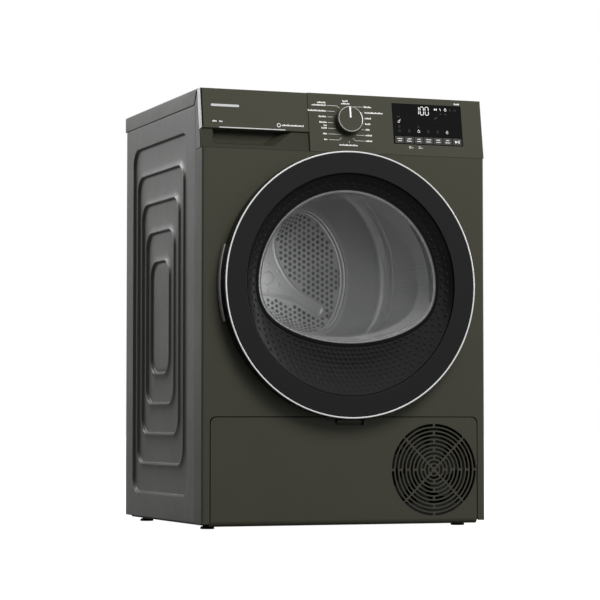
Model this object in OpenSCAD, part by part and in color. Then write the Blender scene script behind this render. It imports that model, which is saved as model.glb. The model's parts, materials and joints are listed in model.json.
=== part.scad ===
// Heat-pump clothes dryer, free standing, front loading.
// Origin: centre of the footprint on the floor. +X is the user's right, -Y is the front, +Z is up.

/* [Cabinet] */
// Overall width of the cabinet
cab_w = 594; // [592:1:598]
// Overall height, feet included
cab_h = 853; // [852:1:856]
// Front face of the steel front panel, measured from the origin towards the user
front_depth = 250; // [249:1:252]
// Outer face of the rear panel, measured from the origin
rear_depth = 266; // [265:1:268]
// Height of the worktop board
top_h = 31.5; // [30:0.5:32]
// How far the worktop overhangs the rear panel
top_overhang = 14; // [12:1:15]
// Thickness of the steel sheets
sheet_t = 1.2; // [1:0.1:1.4]
// Height of the seam between the front panel and the control fascia
seam_z = 735; // [734:1:736]
// Lower edge of the side panels
skirt_z = 11.8; // [11:0.2:12.6]
// Depth of the front panel's wrap round the side
side_wrap = 44; // [42:1:46]

/* [Side embossing] */
// Number of nested rectangles pressed into each side panel
emboss_rings = 5; // [3:1:5]
// Depth of the pressed grooves
emboss_depth = 5; // [3:0.5:5]
// Width of the pressed grooves
emboss_groove = 8; // [6:1:10]

/* [Fascia and display] */
// Backward tilt of the fascia in degrees
fascia_tilt = 9; // [8.5:0.5:9]
// Radius of the programme knob
knob_r = 27.5; // [25:0.5:28]
// How far the knob stands out of the fascia
knob_h = 15; // [12:1:18]
// Display window width
display_w = 149.8; // [146:0.2:150]
// Display window height along the fascia
display_h = 83; // [80:0.5:84]
// Width of one key
key_w = 17.3; // [16:0.1:17.5]
// Height of one key
key_h = 13.4; // [12:0.1:13.6]
// Travel of a key
key_travel = 1; // [0.5:0.1:1.5]

/* [Door] */
// Outer radius of the door
door_r = 261; // [258:1:261]
// Height of the door centre above the floor
door_z = 474; // [473:1:475]
// How far the door stands in front of the front panel
door_proud = 34; // [33:1:35]
// Radius of the seam between the glossy ring and the dimpled cover
seam_r = 217; // [214:1:219]
// Radius of the round upper edge of the window
window_r = 186; // [182:1:188]
// Radius of the flatter lower edge of the window
window_low_r = 330; // [320:5:340]
// Height of the window's lower edge below the door centre
window_drop = 114; // [110:1:118]
// Depth of the glass bowl behind the front panel
bowl_depth = 100; // [90:1:105]

/* [Drum] */
// Outer radius of the drum
drum_r = 281; // [279:1:281]
// Height of the drum axis above the floor
drum_z = 515; // [514:1:516]
// Length of the drum
drum_len = 412; // [410:1:414]
// Height of the lifters inside the drum
lifter_h = 58; // [45:1:62]
// Radius of the front support rollers
roller_r = 17; // [15:1:18]

/* [Water tank drawer] */
// Right edge of the drawer front, measured from the centre
tank_right = -75.6; // [-76:0.2:-75]
// Length of the water tank
tank_len = 406; // [380:2:414]
// Length of the chrome strip under the drawer's front panel
strip_len = 136; // [130:1:140]

/* [Service panel] */
// Half width of the service panel
kick_half = 279.8; // [278:0.2:280]
// Top edge of the service panel
kick_top = 216.3; // [215:0.1:216.5]
// Centre of the round grille, to the right of the middle
grille_x = 186.4; // [184:0.2:188]
// Height of the centre of the round grille
grille_z = 112.4; // [110:0.2:114]
// Pitch of the ring slots in the grille
slot_pitch = 8; // [7.8:0.1:8]
// Width of one ring slot
slot_w = 4.5; // [4:0.1:5]

/* [Feet] */
// Radius of a foot pad
foot_r = 14; // [12:0.5:15]
// Distance of a foot from the side
foot_inset = 32; // [31:1:34]
// Distance of the front feet behind the front panel
foot_front = 63; // [62:1:65]
// Distance of the rear feet in front of the rear panel
foot_rear = 49; // [48:1:55]

/* [Hidden] */
$fn = 64;

half_w = cab_w / 2;
front_y = -front_depth;
rear_y = rear_depth;
top_z = cab_h;
top_under = cab_h - top_h;
wrap_y = front_y + side_wrap;
gap = 0.3;

// Slanted seam between the worktop and the fascia
top_front_low = front_y + 51.5;
top_front_high = front_y + 34.5;
fascia_top_y = front_y + (top_z - seam_z) * tan(fascia_tilt);
fascia_len = (top_z - seam_z) / cos(fascia_tilt);

// Side embossing: outermost rectangle and the step to the next one
emboss_y = front_y + 279.4;
emboss_z = 418;
emboss_half_y = 187.8;
emboss_half_z = 358;
emboss_step_y = 31.3;
emboss_step_z = 60.9;
emboss_corner = 30;

// Knob, display and keys in the fascia's own plane
knob_x = 8.1;
knob_s = 65.5;
display_x = 178.6;
display_s = 65;
key_pitch = 20.75;
key_s = 31.8;
key_count = 7;
key_depth = 6;
key_proud = 0.6;

// Drawer front
bezel_low = 39;
bezel_t = 12;
recess_d = 9;
scoop_left = -273;
scoop_right = -130;
scoop_d = 24;
strip_side = 15.5;
strip_left = -261;

// Tank cross-section, its sloping floor clears the drum
tank_x0 = -286;
tank_x1 = -86;
tank_bend = -200;
tank_z0 = 750;
tank_z1 = 797;
tank_z2 = 818;
tank_y0 = front_y + 34;
tank_wall = 2;

// Door
door_front = front_y - door_proud;
door_back = front_y - 1.2;
opening_r = 222;
mouth_r = 205;
trim_depth = 3;
hinge_x = door_r - 8.5;
hinge_y = front_y - 20.5;
hinge_spots = [door_z - 16, door_z + 16];
hinge_half = 5;
pin_half = 11;
pin_r = 2.5;
hook_x = -238;

// Drum
drum_y0 = -196;
drum_y1 = drum_y0 + drum_len;
drum_t = 1.2;
plate_r = 192;
belt_y = 182;
belt_w = 9;
belt_t = 1.8;
pulley_r = 8.7;
motor_x = 175;
motor_z = 110;
shaft_r = 10;
running = 0.05;
bulkhead_y = wrap_y;
bulkhead_t = 4;
rear_bulk_y = 226;
roller_span = drum_r + roller_r + gap;
roller_angle = 60;
fan_x = grille_x;
fan_z = grille_z;
fan_y = -209;
fan_axle_r = 2.5;

// Service panel pivot and latch
kick_pivot_y = front_y + 9;
kick_pivot_z = 22;
latch_x = 6;
latch_half = 31;
latch_low = 200.5;
latch_notch = 44;
latch_top = 212;

// Base
base_half = 286;
base_y0 = -222;
base_y1 = 258;
base_z = 8;
base_floor = 14;

// ---------- helpers ----------

// Extrudes a drawing of (x, z) along Y
module along_y(y0, y1) {
    translate([0, y1, 0])
        rotate([90, 0, 0])
            linear_extrude(y1 - y0)
                children();
}

// Extrudes a drawing of (y, z) along X
module along_x(x0, x1) {
    translate([x0, 0, 0])
        rotate([90, 0, 90])
            linear_extrude(x1 - x0)
                children();
}

// Turns a drawing of (radius, y) about an axis along Y
module turn_y(cx, cz, sides = 128) {
    translate([cx, 0, cz])
        rotate([-90, 0, 0])
            rotate_extrude($fn = sides)
                children();
}

// Round bar along Y
module bar_y(cx, cz, r, y0, y1) {
    translate([cx, y0, cz])
        rotate([-90, 0, 0])
            cylinder(r = r, h = y1 - y0);
}

// Box given by its two corners
module span(a, b) {
    translate(a)
        cube(b - a);
}

// Rounded rectangle about its own centre
module rounded_rect(w, h, r) {
    square([w - 2 * r, h], center = true);
    square([w, h - 2 * r], center = true);
    for (sx = [-1, 1], sy = [-1, 1])
        translate([sx * (w / 2 - r), sy * (h / 2 - r)])
            circle(r);
}

// Places children in the tilted plane of the fascia: x, depth into the machine, height along the slope
module on_fascia() {
    translate([0, front_y, seam_z])
        rotate([-fascia_tilt, 0, 0])
            children();
}

// ---------- cabinet ----------

module emboss_outline(i, grow) {
    translate([emboss_y, emboss_z])
        rounded_rect(2 * (emboss_half_y - i * emboss_step_y + grow),
            2 * (emboss_half_z - i * emboss_step_z + grow), emboss_corner - 3 * i + grow);
}

module emboss_ring(i, wall) {
    difference() {
        emboss_outline(i, wall);
        emboss_outline(i, -emboss_groove - wall);
    }
}

// Sheet with nested grooves pressed inwards and a flange folded in at each end
module side_sheet() {
    front_flange = 8;
    rear_flange = 14;
    difference() {
        union() {
            span([half_w - sheet_t, wrap_y, skirt_z], [half_w, rear_y, top_under - gap]);
            span([half_w - front_flange, wrap_y, skirt_z],
                [half_w, wrap_y + sheet_t, top_under - gap]);
            span([half_w - rear_flange, rear_y - 2 * sheet_t - gap, skirt_z],
                [half_w, rear_y - sheet_t - gap, top_under - gap]);
            for (i = [0 : emboss_rings - 1])
                along_x(half_w - emboss_depth - sheet_t, half_w)
                    emboss_ring(i, sheet_t);
        }
        for (i = [0 : emboss_rings - 1])
            along_x(half_w - emboss_depth, half_w + 1)
                emboss_ring(i, 0);
        screw_drills();
    }
}

module left_side_panel() {
    color([0.36, 0.36, 0.35])
        mirror([1, 0, 0])
            side_sheet();
}

module right_side_panel() {
    color([0.36, 0.36, 0.35])
        side_sheet();
}

screw_x = half_w - 8;
rear_screw_z = [60, 200, 340, 480, 620, 780];
cover_r = 232;
cover_screws = 8;

module screw_spots() {
    for (z = rear_screw_z, s = [-1, 1])
        translate([s * screw_x, rear_y, z])
            rotate([-90, 0, 0])
                children();
}

module screw_drills() {
    screw_spots()
        translate([0, 0, -8])
            cylinder(r = 2.1, h = 9);
}

module rear_panel() {
    color([0.45, 0.46, 0.46])
        difference() {
            span([-half_w + sheet_t + 0.1, rear_y - sheet_t, skirt_z],
                [half_w - sheet_t - 0.1, rear_y, top_under - gap]);
            bar_y(0, drum_z, cover_r - 14, rear_y - 3, rear_y + 1);
            bar_y(spigot_x, spigot_z, 10, rear_y - 3, rear_y + 1);
            span([inlet_x - 16, rear_y - 3, inlet_z - 16],
                [inlet_x + 16, rear_y + 1, inlet_z + 16]);
            screw_drills();
            cover_drills();
        }
}

module cover_drills() {
    for (i = [0 : cover_screws - 1])
        rotate_about_drum(22.5 + i * 360 / cover_screws)
            translate([cover_r - 6, rear_y - 4, 0])
                rotate([-90, 0, 0])
                    cylinder(r = 2.1, h = 10);
}

module rotate_about_drum(a) {
    translate([0, 0, drum_z])
        rotate([0, -a, 0])
            children();
}

// Pressed cover that closes the air duct behind the drum
module rear_duct_cover() {
    deep = 18;
    lip = 1.6;
    color([0.5, 0.51, 0.51])
        difference() {
            turn_y(0, drum_z)
                polygon([[0, rear_y + deep - lip], [0, rear_y + deep], [cover_r - 30, rear_y + deep],
                    [cover_r - 13, rear_y + lip], [cover_r, rear_y + lip], [cover_r, rear_y],
                    [cover_r - 15, rear_y], [cover_r - 31, rear_y + deep - lip]]);
            cover_drills();
        }
}

module worktop() {
    y1 = rear_y + top_overhang;
    skin = 10;
    wall = 3;
    color([0.37, 0.37, 0.35])
        difference() {
            along_x(-half_w, half_w)
                polygon([[top_front_low, top_under], [top_front_high, top_z], [y1, top_z],
                    [y1, top_under]]);
            along_x(-half_w + wall, half_w - wall)
                polygon([[top_front_low + 6, top_under - 1], [top_front_low + 1, top_z - skin],
                    [y1 - wall, top_z - skin], [y1 - wall, top_under - 1]]);
        }
}

// Plan outline of the front panel with rounded front corners
module wrap_plan(inset) {
    r = 5 - inset;
    w = half_w - inset;
    y0 = front_y + inset;
    translate([-w + r, y0])
        square([2 * w - 2 * r, side_wrap - inset]);
    translate([-w, y0 + r])
        square([2 * w, side_wrap - inset - r]);
    for (s = [-1, 1])
        translate([s * (w - r), y0 + r])
            circle(r);
}

module front_panel() {
    color([0.27, 0.265, 0.24])
        difference() {
            union() {
                difference() {
                    translate([0, 0, skirt_z])
                        linear_extrude(seam_z - gap - skirt_z)
                            wrap_plan(0);
                    translate([0, 0, skirt_z - 1])
                        linear_extrude(seam_z - skirt_z + 2)
                            union() {
                                wrap_plan(sheet_t);
                                translate([-half_w + sheet_t, wrap_y - 1])
                                    square([2 * (half_w - sheet_t), 3]);
                            }
                }
                turn_y(0, door_z)
                    translate([opening_r - 2 * sheet_t, front_y])
                        square([2 * sheet_t + 2, 12]);
            }
            bar_y(0, door_z, opening_r - sheet_t, front_y - 1, front_y + 20);
            difference() {
                span([-kick_half - 0.8, front_y - 1, 0], [kick_half + 0.8, front_y + 6, kick_top + 0.7]);
                span([-latch_notch + 0.8, front_y - 2, latch_top + 0.7],
                    [latch_notch - 0.8, front_y + 7, kick_top + 1]);
            }
            span([hook_x - 8, front_y - 1, door_z - 15], [hook_x + 8, front_y + 4, door_z + 15]);
            for (z = hinge_spots)
                span([hinge_x - 3, front_y - 1, z - 7], [hinge_x + 3, front_y + 4, z + 7]);
        }
}

// ---------- control fascia ----------

function slope_y(d, s) = front_y + d * cos(fascia_tilt) + s * sin(fascia_tilt);
function slope_z(d, s) = seam_z - d * sin(fascia_tilt) + s * cos(fascia_tilt);

// Cheek beside the drawer, behind the chrome end strip
module fascia_cheek() {
    behind_low = recess_d + 3.6;
    behind_strip = strip_side + 0.6;
    polygon([[slope_y(behind_low, 2.6), seam_z + gap], [slope_y(behind_low, bezel_low - 1),
        slope_z(behind_low, bezel_low - 1)], [slope_y(behind_strip, bezel_low - 0.6),
        slope_z(behind_strip, bezel_low - 0.6)], [slope_y(behind_strip, fascia_len - 7),
        slope_z(behind_strip, fascia_len - 7)], [top_front_low - gap, top_under],
        [wrap_y, top_under], [wrap_y, seam_z + gap]]);
}

module control_fascia() {
    x0 = tank_right + 0.6;
    wall = 2.5;
    rail_y = front_y + 29;
    color([0.28, 0.275, 0.25]) {
        along_x(-half_w, -half_w + wall)
            fascia_cheek();
        span([-half_w + 1, rail_y, seam_z + gap], [x0 + 1, wrap_y - 2, seam_z + 8]);
        difference() {
            along_x(x0, half_w)
                polygon([[front_y, seam_z + gap], [fascia_top_y, top_z], [top_front_high - gap, top_z],
                    [top_front_low - gap, top_under], [wrap_y, top_under], [wrap_y, seam_z + gap]]);
            along_x(x0 + wall, half_w - wall)
                polygon([[front_y + wall + 0.4, seam_z + wall], [fascia_top_y + wall, top_z - wall],
                    [top_front_low + 5, top_z - wall], [top_front_low + 5, seam_z + wall]]);
            on_fascia()
                translate([display_x, 0, display_s])
                    cube([display_w + 0.6, 12, display_h + 0.6], center = true);
            on_fascia()
                translate([knob_x, -1, knob_s])
                    rotate([-90, 0, 0])
                        cylinder(r = 4.1, h = 8);
        }
    }
}

function key_x(i) = display_x + (i - (key_count - 1) / 2) * key_pitch;

module display_window() {
    color([0.08, 0.08, 0.08])
        on_fascia()
            difference() {
                translate([display_x, 1.3, display_s])
                    cube([display_w, 2.2, display_h], center = true);
                for (i = [0 : key_count - 1])
                    translate([key_x(i), 1, key_s])
                        cube([key_w + 0.5, 8, key_h + 0.5], center = true);
            }
}

module key(i) {
    color([0.3, 0.295, 0.27])
        on_fascia()
            translate([key_x(i) - key_w / 2, -key_proud, key_s - key_h / 2])
                cube([key_w, key_depth + key_proud, key_h]);
}

module control_board() {
    color([0.1, 0.32, 0.18])
        on_fascia() {
            translate([display_x - 84, 9, 20])
                cube([170, 1.6, 92]);
            translate([display_x - 60, 10.6, 40])
                cube([40, 14, 30]);
            translate([display_x + 10, 10.6, 50])
                cube([50, 8, 40]);
        }
}

module program_knob() {
    color([0.27, 0.265, 0.24])
        on_fascia()
            translate([knob_x, 0, knob_s])
                rotate([-90, 0, 0]) {
                    translate([0, 0, -knob_h])
                        cylinder(r1 = knob_r - 0.6, r2 = knob_r, h = knob_h - 0.5);
                    translate([0, 0, -1])
                        cylinder(r = 4, h = 15);
                }
}

// ---------- water tank drawer ----------

module tank_front() {
    x0 = -half_w + 1.2;
    color([0.27, 0.265, 0.24])
        on_fascia()
            difference() {
                union() {
                    span([x0, 0, bezel_low], [tank_right, bezel_t, fascia_len - 0.4]);
                    span([-half_w, recess_d, 5.5], [tank_right, recess_d + 3, bezel_low]);
                    span([scoop_left - 2, recess_d, 5.5], [scoop_right + 2, scoop_d + 2, bezel_low]);
                }
                span([scoop_left, recess_d - 1, 8], [scoop_right, scoop_d, bezel_low + 4]);
                span([x0 + 2, 3, bezel_low + 6], [tank_right - 2, bezel_t + 1, fascia_len - 4]);
            }
}

module tank_trims() {
    color([0.92, 0.92, 0.92])
        on_fascia() {
            span([-half_w, 0.3, bezel_low], [-half_w + 1.2, strip_side, fascia_len - 0.4]);
            span([strip_left, -0.6, bezel_low + 0.4], [strip_left + strip_len, 0, bezel_low + 3.2]);
        }
}

function tank_outline(g) = [[tank_x0 + g, tank_z0 + g], [tank_bend - 0.4 * g, tank_z0 + g],
    [tank_x1 - g, tank_z1 + 0.7 * g], [tank_x1 - g, tank_z2 - g], [tank_x0 + g, tank_z2 - g]];

module water_tank() {
    y1 = tank_y0 + tank_len;
    color([0.8, 0.82, 0.84])
        difference() {
            along_y(tank_y0, y1)
                polygon(tank_outline(0));
            along_y(tank_y0 + tank_wall, y1 - tank_wall)
                polygon(tank_outline(tank_wall));
            span([-220, y1 - 90, tank_z2 - 5], [-150, y1 - 40, tank_z2 + 1]);
        }
}

// Open channel that the tank slides on
module tank_chute() {
    y0 = bulkhead_y - 2;
    y1 = tank_y0 + tank_len + 8;
    color([0.7, 0.7, 0.7])
        difference() {
            along_y(y0, y1)
                polygon(tank_outline(-2.5));
            along_y(y0 - 1, y1 - 2)
                polygon(tank_outline(-0.5));
            span([-half_w, y0 - 1, 790], [0, y1 + 1, cab_h]);
        }
}

// ---------- base ----------

foot_spots = [[-1, front_y + foot_front], [1, front_y + foot_front],
    [-1, rear_y - foot_rear], [1, rear_y - foot_rear]];
foot_x = half_w - foot_inset;
stem_r = 4;

module base_tray() {
    wall = 3;
    color([0.12, 0.12, 0.12])
        difference() {
            union() {
                difference() {
                    span([-base_half, base_y0, base_z], [base_half, base_y1, 46]);
                    span([-base_half + wall, base_y0 + wall, base_floor],
                        [base_half - wall, base_y1 - wall, 47]);
                }
                for (p = foot_spots)
                    translate([p[0] * foot_x, p[1], base_z])
                        cylinder(r = 11, h = 30);
                span([-42, -208, base_floor], [-39, 100, 196]);
                for (s = [-1, 1])
                    pivot_ear(s * 270);
                motor_cradle();
                blower_scroll();
                fan_frame();
            }
            for (p = foot_spots)
                translate([p[0] * foot_x, p[1], base_z - 1])
                    cylinder(r = stem_r + running, h = 40);
        }
}

// Ear that carries the service panel's pivot pin
module pivot_ear(x) {
    along_x(x - 2.5, x + 2.5)
        difference() {
            union() {
                translate([kick_pivot_y, kick_pivot_z])
                    circle(5.5);
                translate([kick_pivot_y - 4, kick_pivot_z])
                    square([8, 24]);
                translate([kick_pivot_y - 4, 38])
                    square([base_y0 - kick_pivot_y + 6, 8]);
            }
            translate([kick_pivot_y, kick_pivot_z])
                circle(3 + running);
        }
}

motor_r = 55;
motor_y0 = 72;
motor_y1 = 158;

module motor_cradle() {
    for (y = [motor_y0 + 10, motor_y1 - 16])
        difference() {
            span([motor_x - 34, y, base_floor - 1], [motor_x + 34, y + 6, motor_z - 30]);
            bar_y(motor_x, motor_z, motor_r + gap, y - 1, y + 7);
        }
}

scroll_r = 66;
scroll_y0 = 26;
scroll_y1 = 66;

module blower_scroll() {
    wall = 3;
    difference() {
        union() {
            bar_y(motor_x, motor_z, scroll_r + wall, scroll_y0, scroll_y1);
            span([motor_x - 40, scroll_y0, base_floor - 1], [motor_x + 40, scroll_y1, motor_z - 20]);
        }
        bar_y(motor_x, motor_z, scroll_r, scroll_y0 + wall, scroll_y1 - wall);
        bar_y(motor_x, motor_z, 42, scroll_y0 - 1, scroll_y0 + wall + 1);
        bar_y(motor_x, motor_z, 9, scroll_y1 - wall - 1, scroll_y1 + 1);
    }
}

// Frame and motor of the cooling fan behind the grille
module fan_frame() {
    ring_r = 80;
    difference() {
        bar_y(fan_x, fan_z, ring_r + 4, fan_y - 3, fan_y + 23);
        bar_y(fan_x, fan_z, ring_r, fan_y - 4, fan_y + 24);
    }
    bar_y(fan_x, fan_z, 18, fan_y + 21, fan_y + 47);
    bar_y(fan_x, fan_z, fan_axle_r, fan_y + 2, fan_y + 22);
    for (a = [45, 135, 225, 315])
        translate([fan_x, fan_y + 20, fan_z])
            rotate([0, a, 0])
                translate([14, 0, -4])
                    cube([ring_r - 12, 4, 8]);
    span([fan_x - 30, fan_y, base_floor - 1], [fan_x + 30, fan_y + 16, fan_z - ring_r - 1]);
}

module foot(i) {
    p = foot_spots[i];
    color([0.1, 0.1, 0.1])
        translate([p[0] * foot_x, p[1], 0]) {
            cylinder(r1 = foot_r, r2 = foot_r - 2, h = 6);
            translate([0, 0, 5])
                cylinder(r = stem_r, h = 29);
        }
}

// ---------- service panel ----------

// Ring slots with diagonal spokes, and upright spokes on every second ring
module grille_slots() {
    spoke = 4;
    rings = 11;
    for (i = [1 : rings])
        difference() {
            circle(i * slot_pitch + slot_w / 2);
            circle(i * slot_pitch - slot_w / 2);
            for (a = [45, 135])
                rotate(a)
                    square([4 * rings * slot_pitch, spoke], center = true);
            if (i % 2 == 1)
                for (a = [0, 90])
                    rotate(a)
                        square([4 * rings * slot_pitch, spoke], center = true);
        }
}

module kick_panel() {
    t = 3;
    low = 6;
    corner = 12;
    color([0.27, 0.265, 0.24])
        difference() {
            union() {
                intersection() {
                    along_x(-kick_half, kick_half)
                        polygon([[front_y, 14.5], [front_y, kick_top], [front_y + t, kick_top],
                            [front_y + t, 16], [front_y + t + 1, 12], [front_y + 8, low + 3],
                            [front_y + 8, low], [front_y + 6, low], [front_y + 1.5, 9.5]]);
                    along_y(front_y - 1, front_y + 10)
                        translate([0, kick_top / 2 - 20])
                            rounded_rect(2 * kick_half, kick_top + 40, corner);
                }
                for (s = [-1, 1]) {
                    span([s * 263 - 2, front_y + 2, kick_pivot_z - 4],
                        [s * 263 + 2, kick_pivot_y + 4, kick_pivot_z + 4]);
                    translate([s * 268, kick_pivot_y, kick_pivot_z])
                        rotate([0, 90, 0])
                            cylinder(r = 3, h = 11, center = true);
                }
                latch_pocket(0);
            }
            latch_pocket(2);
            span([-latch_notch, front_y - 1, latch_top], [latch_notch, front_y + 20, kick_top + 1]);
            along_y(front_y - 1, front_y + t + 1)
                translate([grille_x, grille_z])
                    grille_slots();
        }
}

// Pocket in the panel's top edge that holds the latch slider
module latch_pocket(wall) {
    span([latch_x - latch_half - 2 + wall, front_y + (wall > 0 ? -1 : 0), latch_low - 2 + wall],
        [latch_x + latch_half + 2 - wall, front_y + 11 - wall, latch_top + (wall > 0 ? 1 : 0)]);
}

module kick_latch() {
    tab = 25;
    color([0.25, 0.245, 0.225]) {
        span([latch_x - tab, front_y + 1, latch_low + 3.5], [latch_x + tab, front_y + 7, latch_top - 1]);
        span([latch_x - 14, front_y + 1.6, latch_top - 2], [latch_x + 14, front_y + 7, latch_top + 0.4]);
    }
}

module exchanger_cover() {
    color([0.75, 0.75, 0.74])
        difference() {
            union() {
                along_y(-214, -211)
                    translate([-156, 122])
                        rounded_rect(228, 146, 12);
                along_y(-218, -213)
                    difference() {
                        translate([-156, 122])
                            rounded_rect(228, 146, 12);
                        translate([-156, 122])
                            rounded_rect(220, 138, 8);
                    }
            }
            for (x = [-250, -62])
                bar_y(x, 176, 3, -220, -200);
        }
}

// ---------- drum support ----------

module front_bulkhead() {
    z0 = 228;
    z1 = 815;
    color([0.3, 0.3, 0.3])
        difference() {
            union() {
                span([-282, bulkhead_y + 2, z0], [282, bulkhead_y + 2 + bulkhead_t, z1]);
                bar_y(0, door_z, mouth_r + 3, front_y + 22, drum_y0 + 8);
                for (s = [-1, 1])
                    roller_place(s)
                        bar_y(0, 0, 5, bulkhead_y + 4, drum_y0 + 20);
            }
            bar_y(0, door_z, mouth_r, front_y, drum_y0 + 9);
            along_y(bulkhead_y - 10, bulkhead_y + 20)
                polygon(tank_outline(-4));
            span([-300, bulkhead_y - 10, tank_z1 - 20], [tank_x1 + 4, bulkhead_y + 20, z1 + 1]);
            span([-96, front_y + 12, z0 - 1], [96, bulkhead_y + 1, door_z - mouth_r + 12]);
        }
}

module roller_place(s) {
    translate([s * roller_span * cos(roller_angle), 0, drum_z - roller_span * sin(roller_angle)])
        children();
}

module drum_roller(s) {
    y0 = bulkhead_y + 2 + bulkhead_t + 1;
    color([0.15, 0.15, 0.15])
        roller_place(s)
            difference() {
                bar_y(0, 0, roller_r, y0, y0 + 16);
                bar_y(0, 0, 5 + running, y0 - 1, y0 + 17);
            }
}

module rear_bulkhead() {
    holes = 10;
    color([0.62, 0.63, 0.64])
        difference() {
            union() {
                span([-281, rear_bulk_y, 48], [281, rear_bulk_y + 1.6, 816]);
                bar_y(0, drum_z, 24, rear_bulk_y, rear_bulk_y + 20);
            }
            bar_y(0, drum_z, 16, rear_bulk_y - 1, rear_bulk_y + 21);
            for (i = [0 : holes - 1])
                rotate_about_drum(i * 360 / holes)
                    translate([120, rear_bulk_y - 1, 0])
                        rotate([-90, 0, 0])
                            cylinder(r = 26, h = 5);
        }
}

module drum_bearing() {
    color([0.7, 0.55, 0.3])
        difference() {
            bar_y(0, drum_z, 16, rear_bulk_y, rear_bulk_y + 20);
            bar_y(0, drum_z, shaft_r + running, rear_bulk_y - 1, rear_bulk_y + 21);
        }
}

module door_seal() {
    color([0.1, 0.1, 0.1])
        difference() {
            bar_y(0, door_z, 216, front_y + 14.5, front_y + 21.5);
            bar_y(0, door_z, mouth_r - 1, front_y + 10, front_y + 30);
        }
}

module lint_filter() {
    z1 = door_z - mouth_r - 2;
    color([0.55, 0.56, 0.58])
        difference() {
            span([-92, front_y + 23, 226], [92, bulkhead_y, z1 - 14]);
            span([-88, front_y + 26, 229], [88, bulkhead_y - 3, z1 - 13]);
        }
}

// ---------- drum ----------

module drum_shell() {
    color([0.78, 0.79, 0.8])
        turn_y(0, drum_z, 192)
            polygon([[drum_r, drum_y0], [drum_r, drum_y1], [plate_r - 8, drum_y1],
                [plate_r - 8, drum_y1 - drum_t], [drum_r - drum_t, drum_y1 - drum_t],
                [drum_r - drum_t, drum_y0 + 3], [drum_r - 4, drum_y0 + 1.5], [drum_r - 4, drum_y0]]);
}

module drum_back_plate() {
    y1 = drum_y1 - drum_t;
    color([0.75, 0.76, 0.78]) {
        bar_y(0, drum_z, plate_r, y1 - 1.6, y1);
        for (a = [90, 210, 330])
            rotate_about_drum(a)
                span([20, y1 - 4, -18], [150, y1 - 1, 18]);
        bar_y(0, drum_z, 42, y1 - 5, y1 - 1);
    }
}

module drum_spider() {
    color([0.55, 0.56, 0.57]) {
        for (a = [30, 150, 270])
            rotate_about_drum(a)
                span([0, drum_y1, -22], [drum_r - 20, drum_y1 + 4, 22]);
        bar_y(0, drum_z, 46, drum_y1, drum_y1 + 8);
        bar_y(0, drum_z, shaft_r, drum_y1 + 2, rear_bulk_y + 26);
    }
}

module drum_lifters() {
    inner = drum_r - drum_t - 0.8;
    color([0.2, 0.2, 0.21])
        for (a = [60, 180, 300])
            rotate_about_drum(a)
                along_y(drum_y0 + 16, drum_y1 - 20)
                    difference() {
                        lifter_outline(0);
                        lifter_outline(3);
                        difference() {
                            circle(inner + 60, $fn = 192);
                            circle(inner, $fn = 192);
                        }
                    }
}

// Section of a lifter, drawn on the +X side of the drum
module lifter_outline(wall) {
    inner = drum_r - drum_t - 0.8;
    foot_w = 42 - wall;
    crest = 14 - wall / 2;
    polygon([[inner - lifter_h + wall, -crest], [inner - lifter_h + wall, crest],
        [inner - 12 + wall, foot_w], [inner + 2, foot_w], [inner + 2, -foot_w],
        [inner - 12 + wall, -foot_w]]);
}

// ---------- drive ----------

belt_gap = 0.3;

belt_drum_steps = 120;
belt_pulley_steps = 16;

// Outline of a loop round the drum and the pulley, joined by straight runs
function belt_outline(grow) =
    let (big = drum_r + belt_gap + grow,
        small = pulley_r + belt_gap + grow,
        along = atan2(motor_z - drum_z, motor_x),
        lean = acos((big - small) / norm([motor_x, motor_z - drum_z])))
    concat(
        [for (i = [0 : belt_drum_steps])
            let (a = along + lean + i * (360 - 2 * lean) / belt_drum_steps)
            [big * cos(a), drum_z + big * sin(a)]],
        [for (i = [0 : belt_pulley_steps])
            let (a = along - lean + i * 2 * lean / belt_pulley_steps)
            [motor_x + small * cos(a), motor_z + small * sin(a)]]);

module drive_belt() {
    color([0.08, 0.08, 0.08])
        along_y(belt_y - belt_w / 2, belt_y + belt_w / 2)
            difference() {
                polygon(belt_outline(belt_t));
                polygon(belt_outline(0));
            }
}

module motor() {
    color([0.5, 0.5, 0.52])
        difference() {
            union() {
                bar_y(motor_x, motor_z, motor_r, motor_y0 + 12, motor_y1 - 12);
                bar_y(motor_x, motor_z, motor_r - 12, motor_y0, motor_y1);
            }
            bar_y(motor_x, motor_z, 5.4, motor_y0 - 1, motor_y1 + 1);
        }
}

module motor_rotor() {
    blades = 12;
    color([0.65, 0.65, 0.67]) {
        bar_y(motor_x, motor_z, 5, 34, belt_y + 10);
        bar_y(motor_x, motor_z, pulley_r, belt_y - 7, belt_y + 7);
        bar_y(motor_x, motor_z, 58, 56, 59);
        for (i = [0 : blades - 1])
            translate([motor_x, 0, motor_z])
                rotate([0, i * 360 / blades, 0])
                    span([44, 33, -1], [58, 57, 1]);
    }
}

module cooling_fan() {
    blades = 7;
    color([0.14, 0.14, 0.14])
        difference() {
            union() {
                bar_y(fan_x, fan_z, 22, fan_y, fan_y + 19);
                for (i = [0 : blades - 1])
                    translate([fan_x, fan_y + 9, fan_z])
                        rotate([0, i * 360 / blades, 0])
                            rotate([28, 0, 0])
                                translate([18, -1, -17])
                                    cube([55, 2, 34]);
            }
            bar_y(fan_x, fan_z, fan_axle_r + running, fan_y - 1, fan_y + 20);
        }
}

// ---------- heat pump ----------

module compressor() {
    cx = 100;
    cy = -70;
    color([0.1, 0.1, 0.11])
        translate([cx, cy, 30]) {
            rotate_extrude($fn = 96)
                polygon([[0, 0], [50, 0], [60, 12], [62, 24], [62, 130], [56, 146], [40, 156],
                    [0, 160]]);
            for (a = [30, 150, 270])
                rotate(a)
                    translate([40, -12, base_floor - 30])
                        cube([40, 24, 31 - base_floor]);
        }
}

exchanger_x0 = -250;
exchanger_x1 = -60;
exchanger_z1 = 196;

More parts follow.
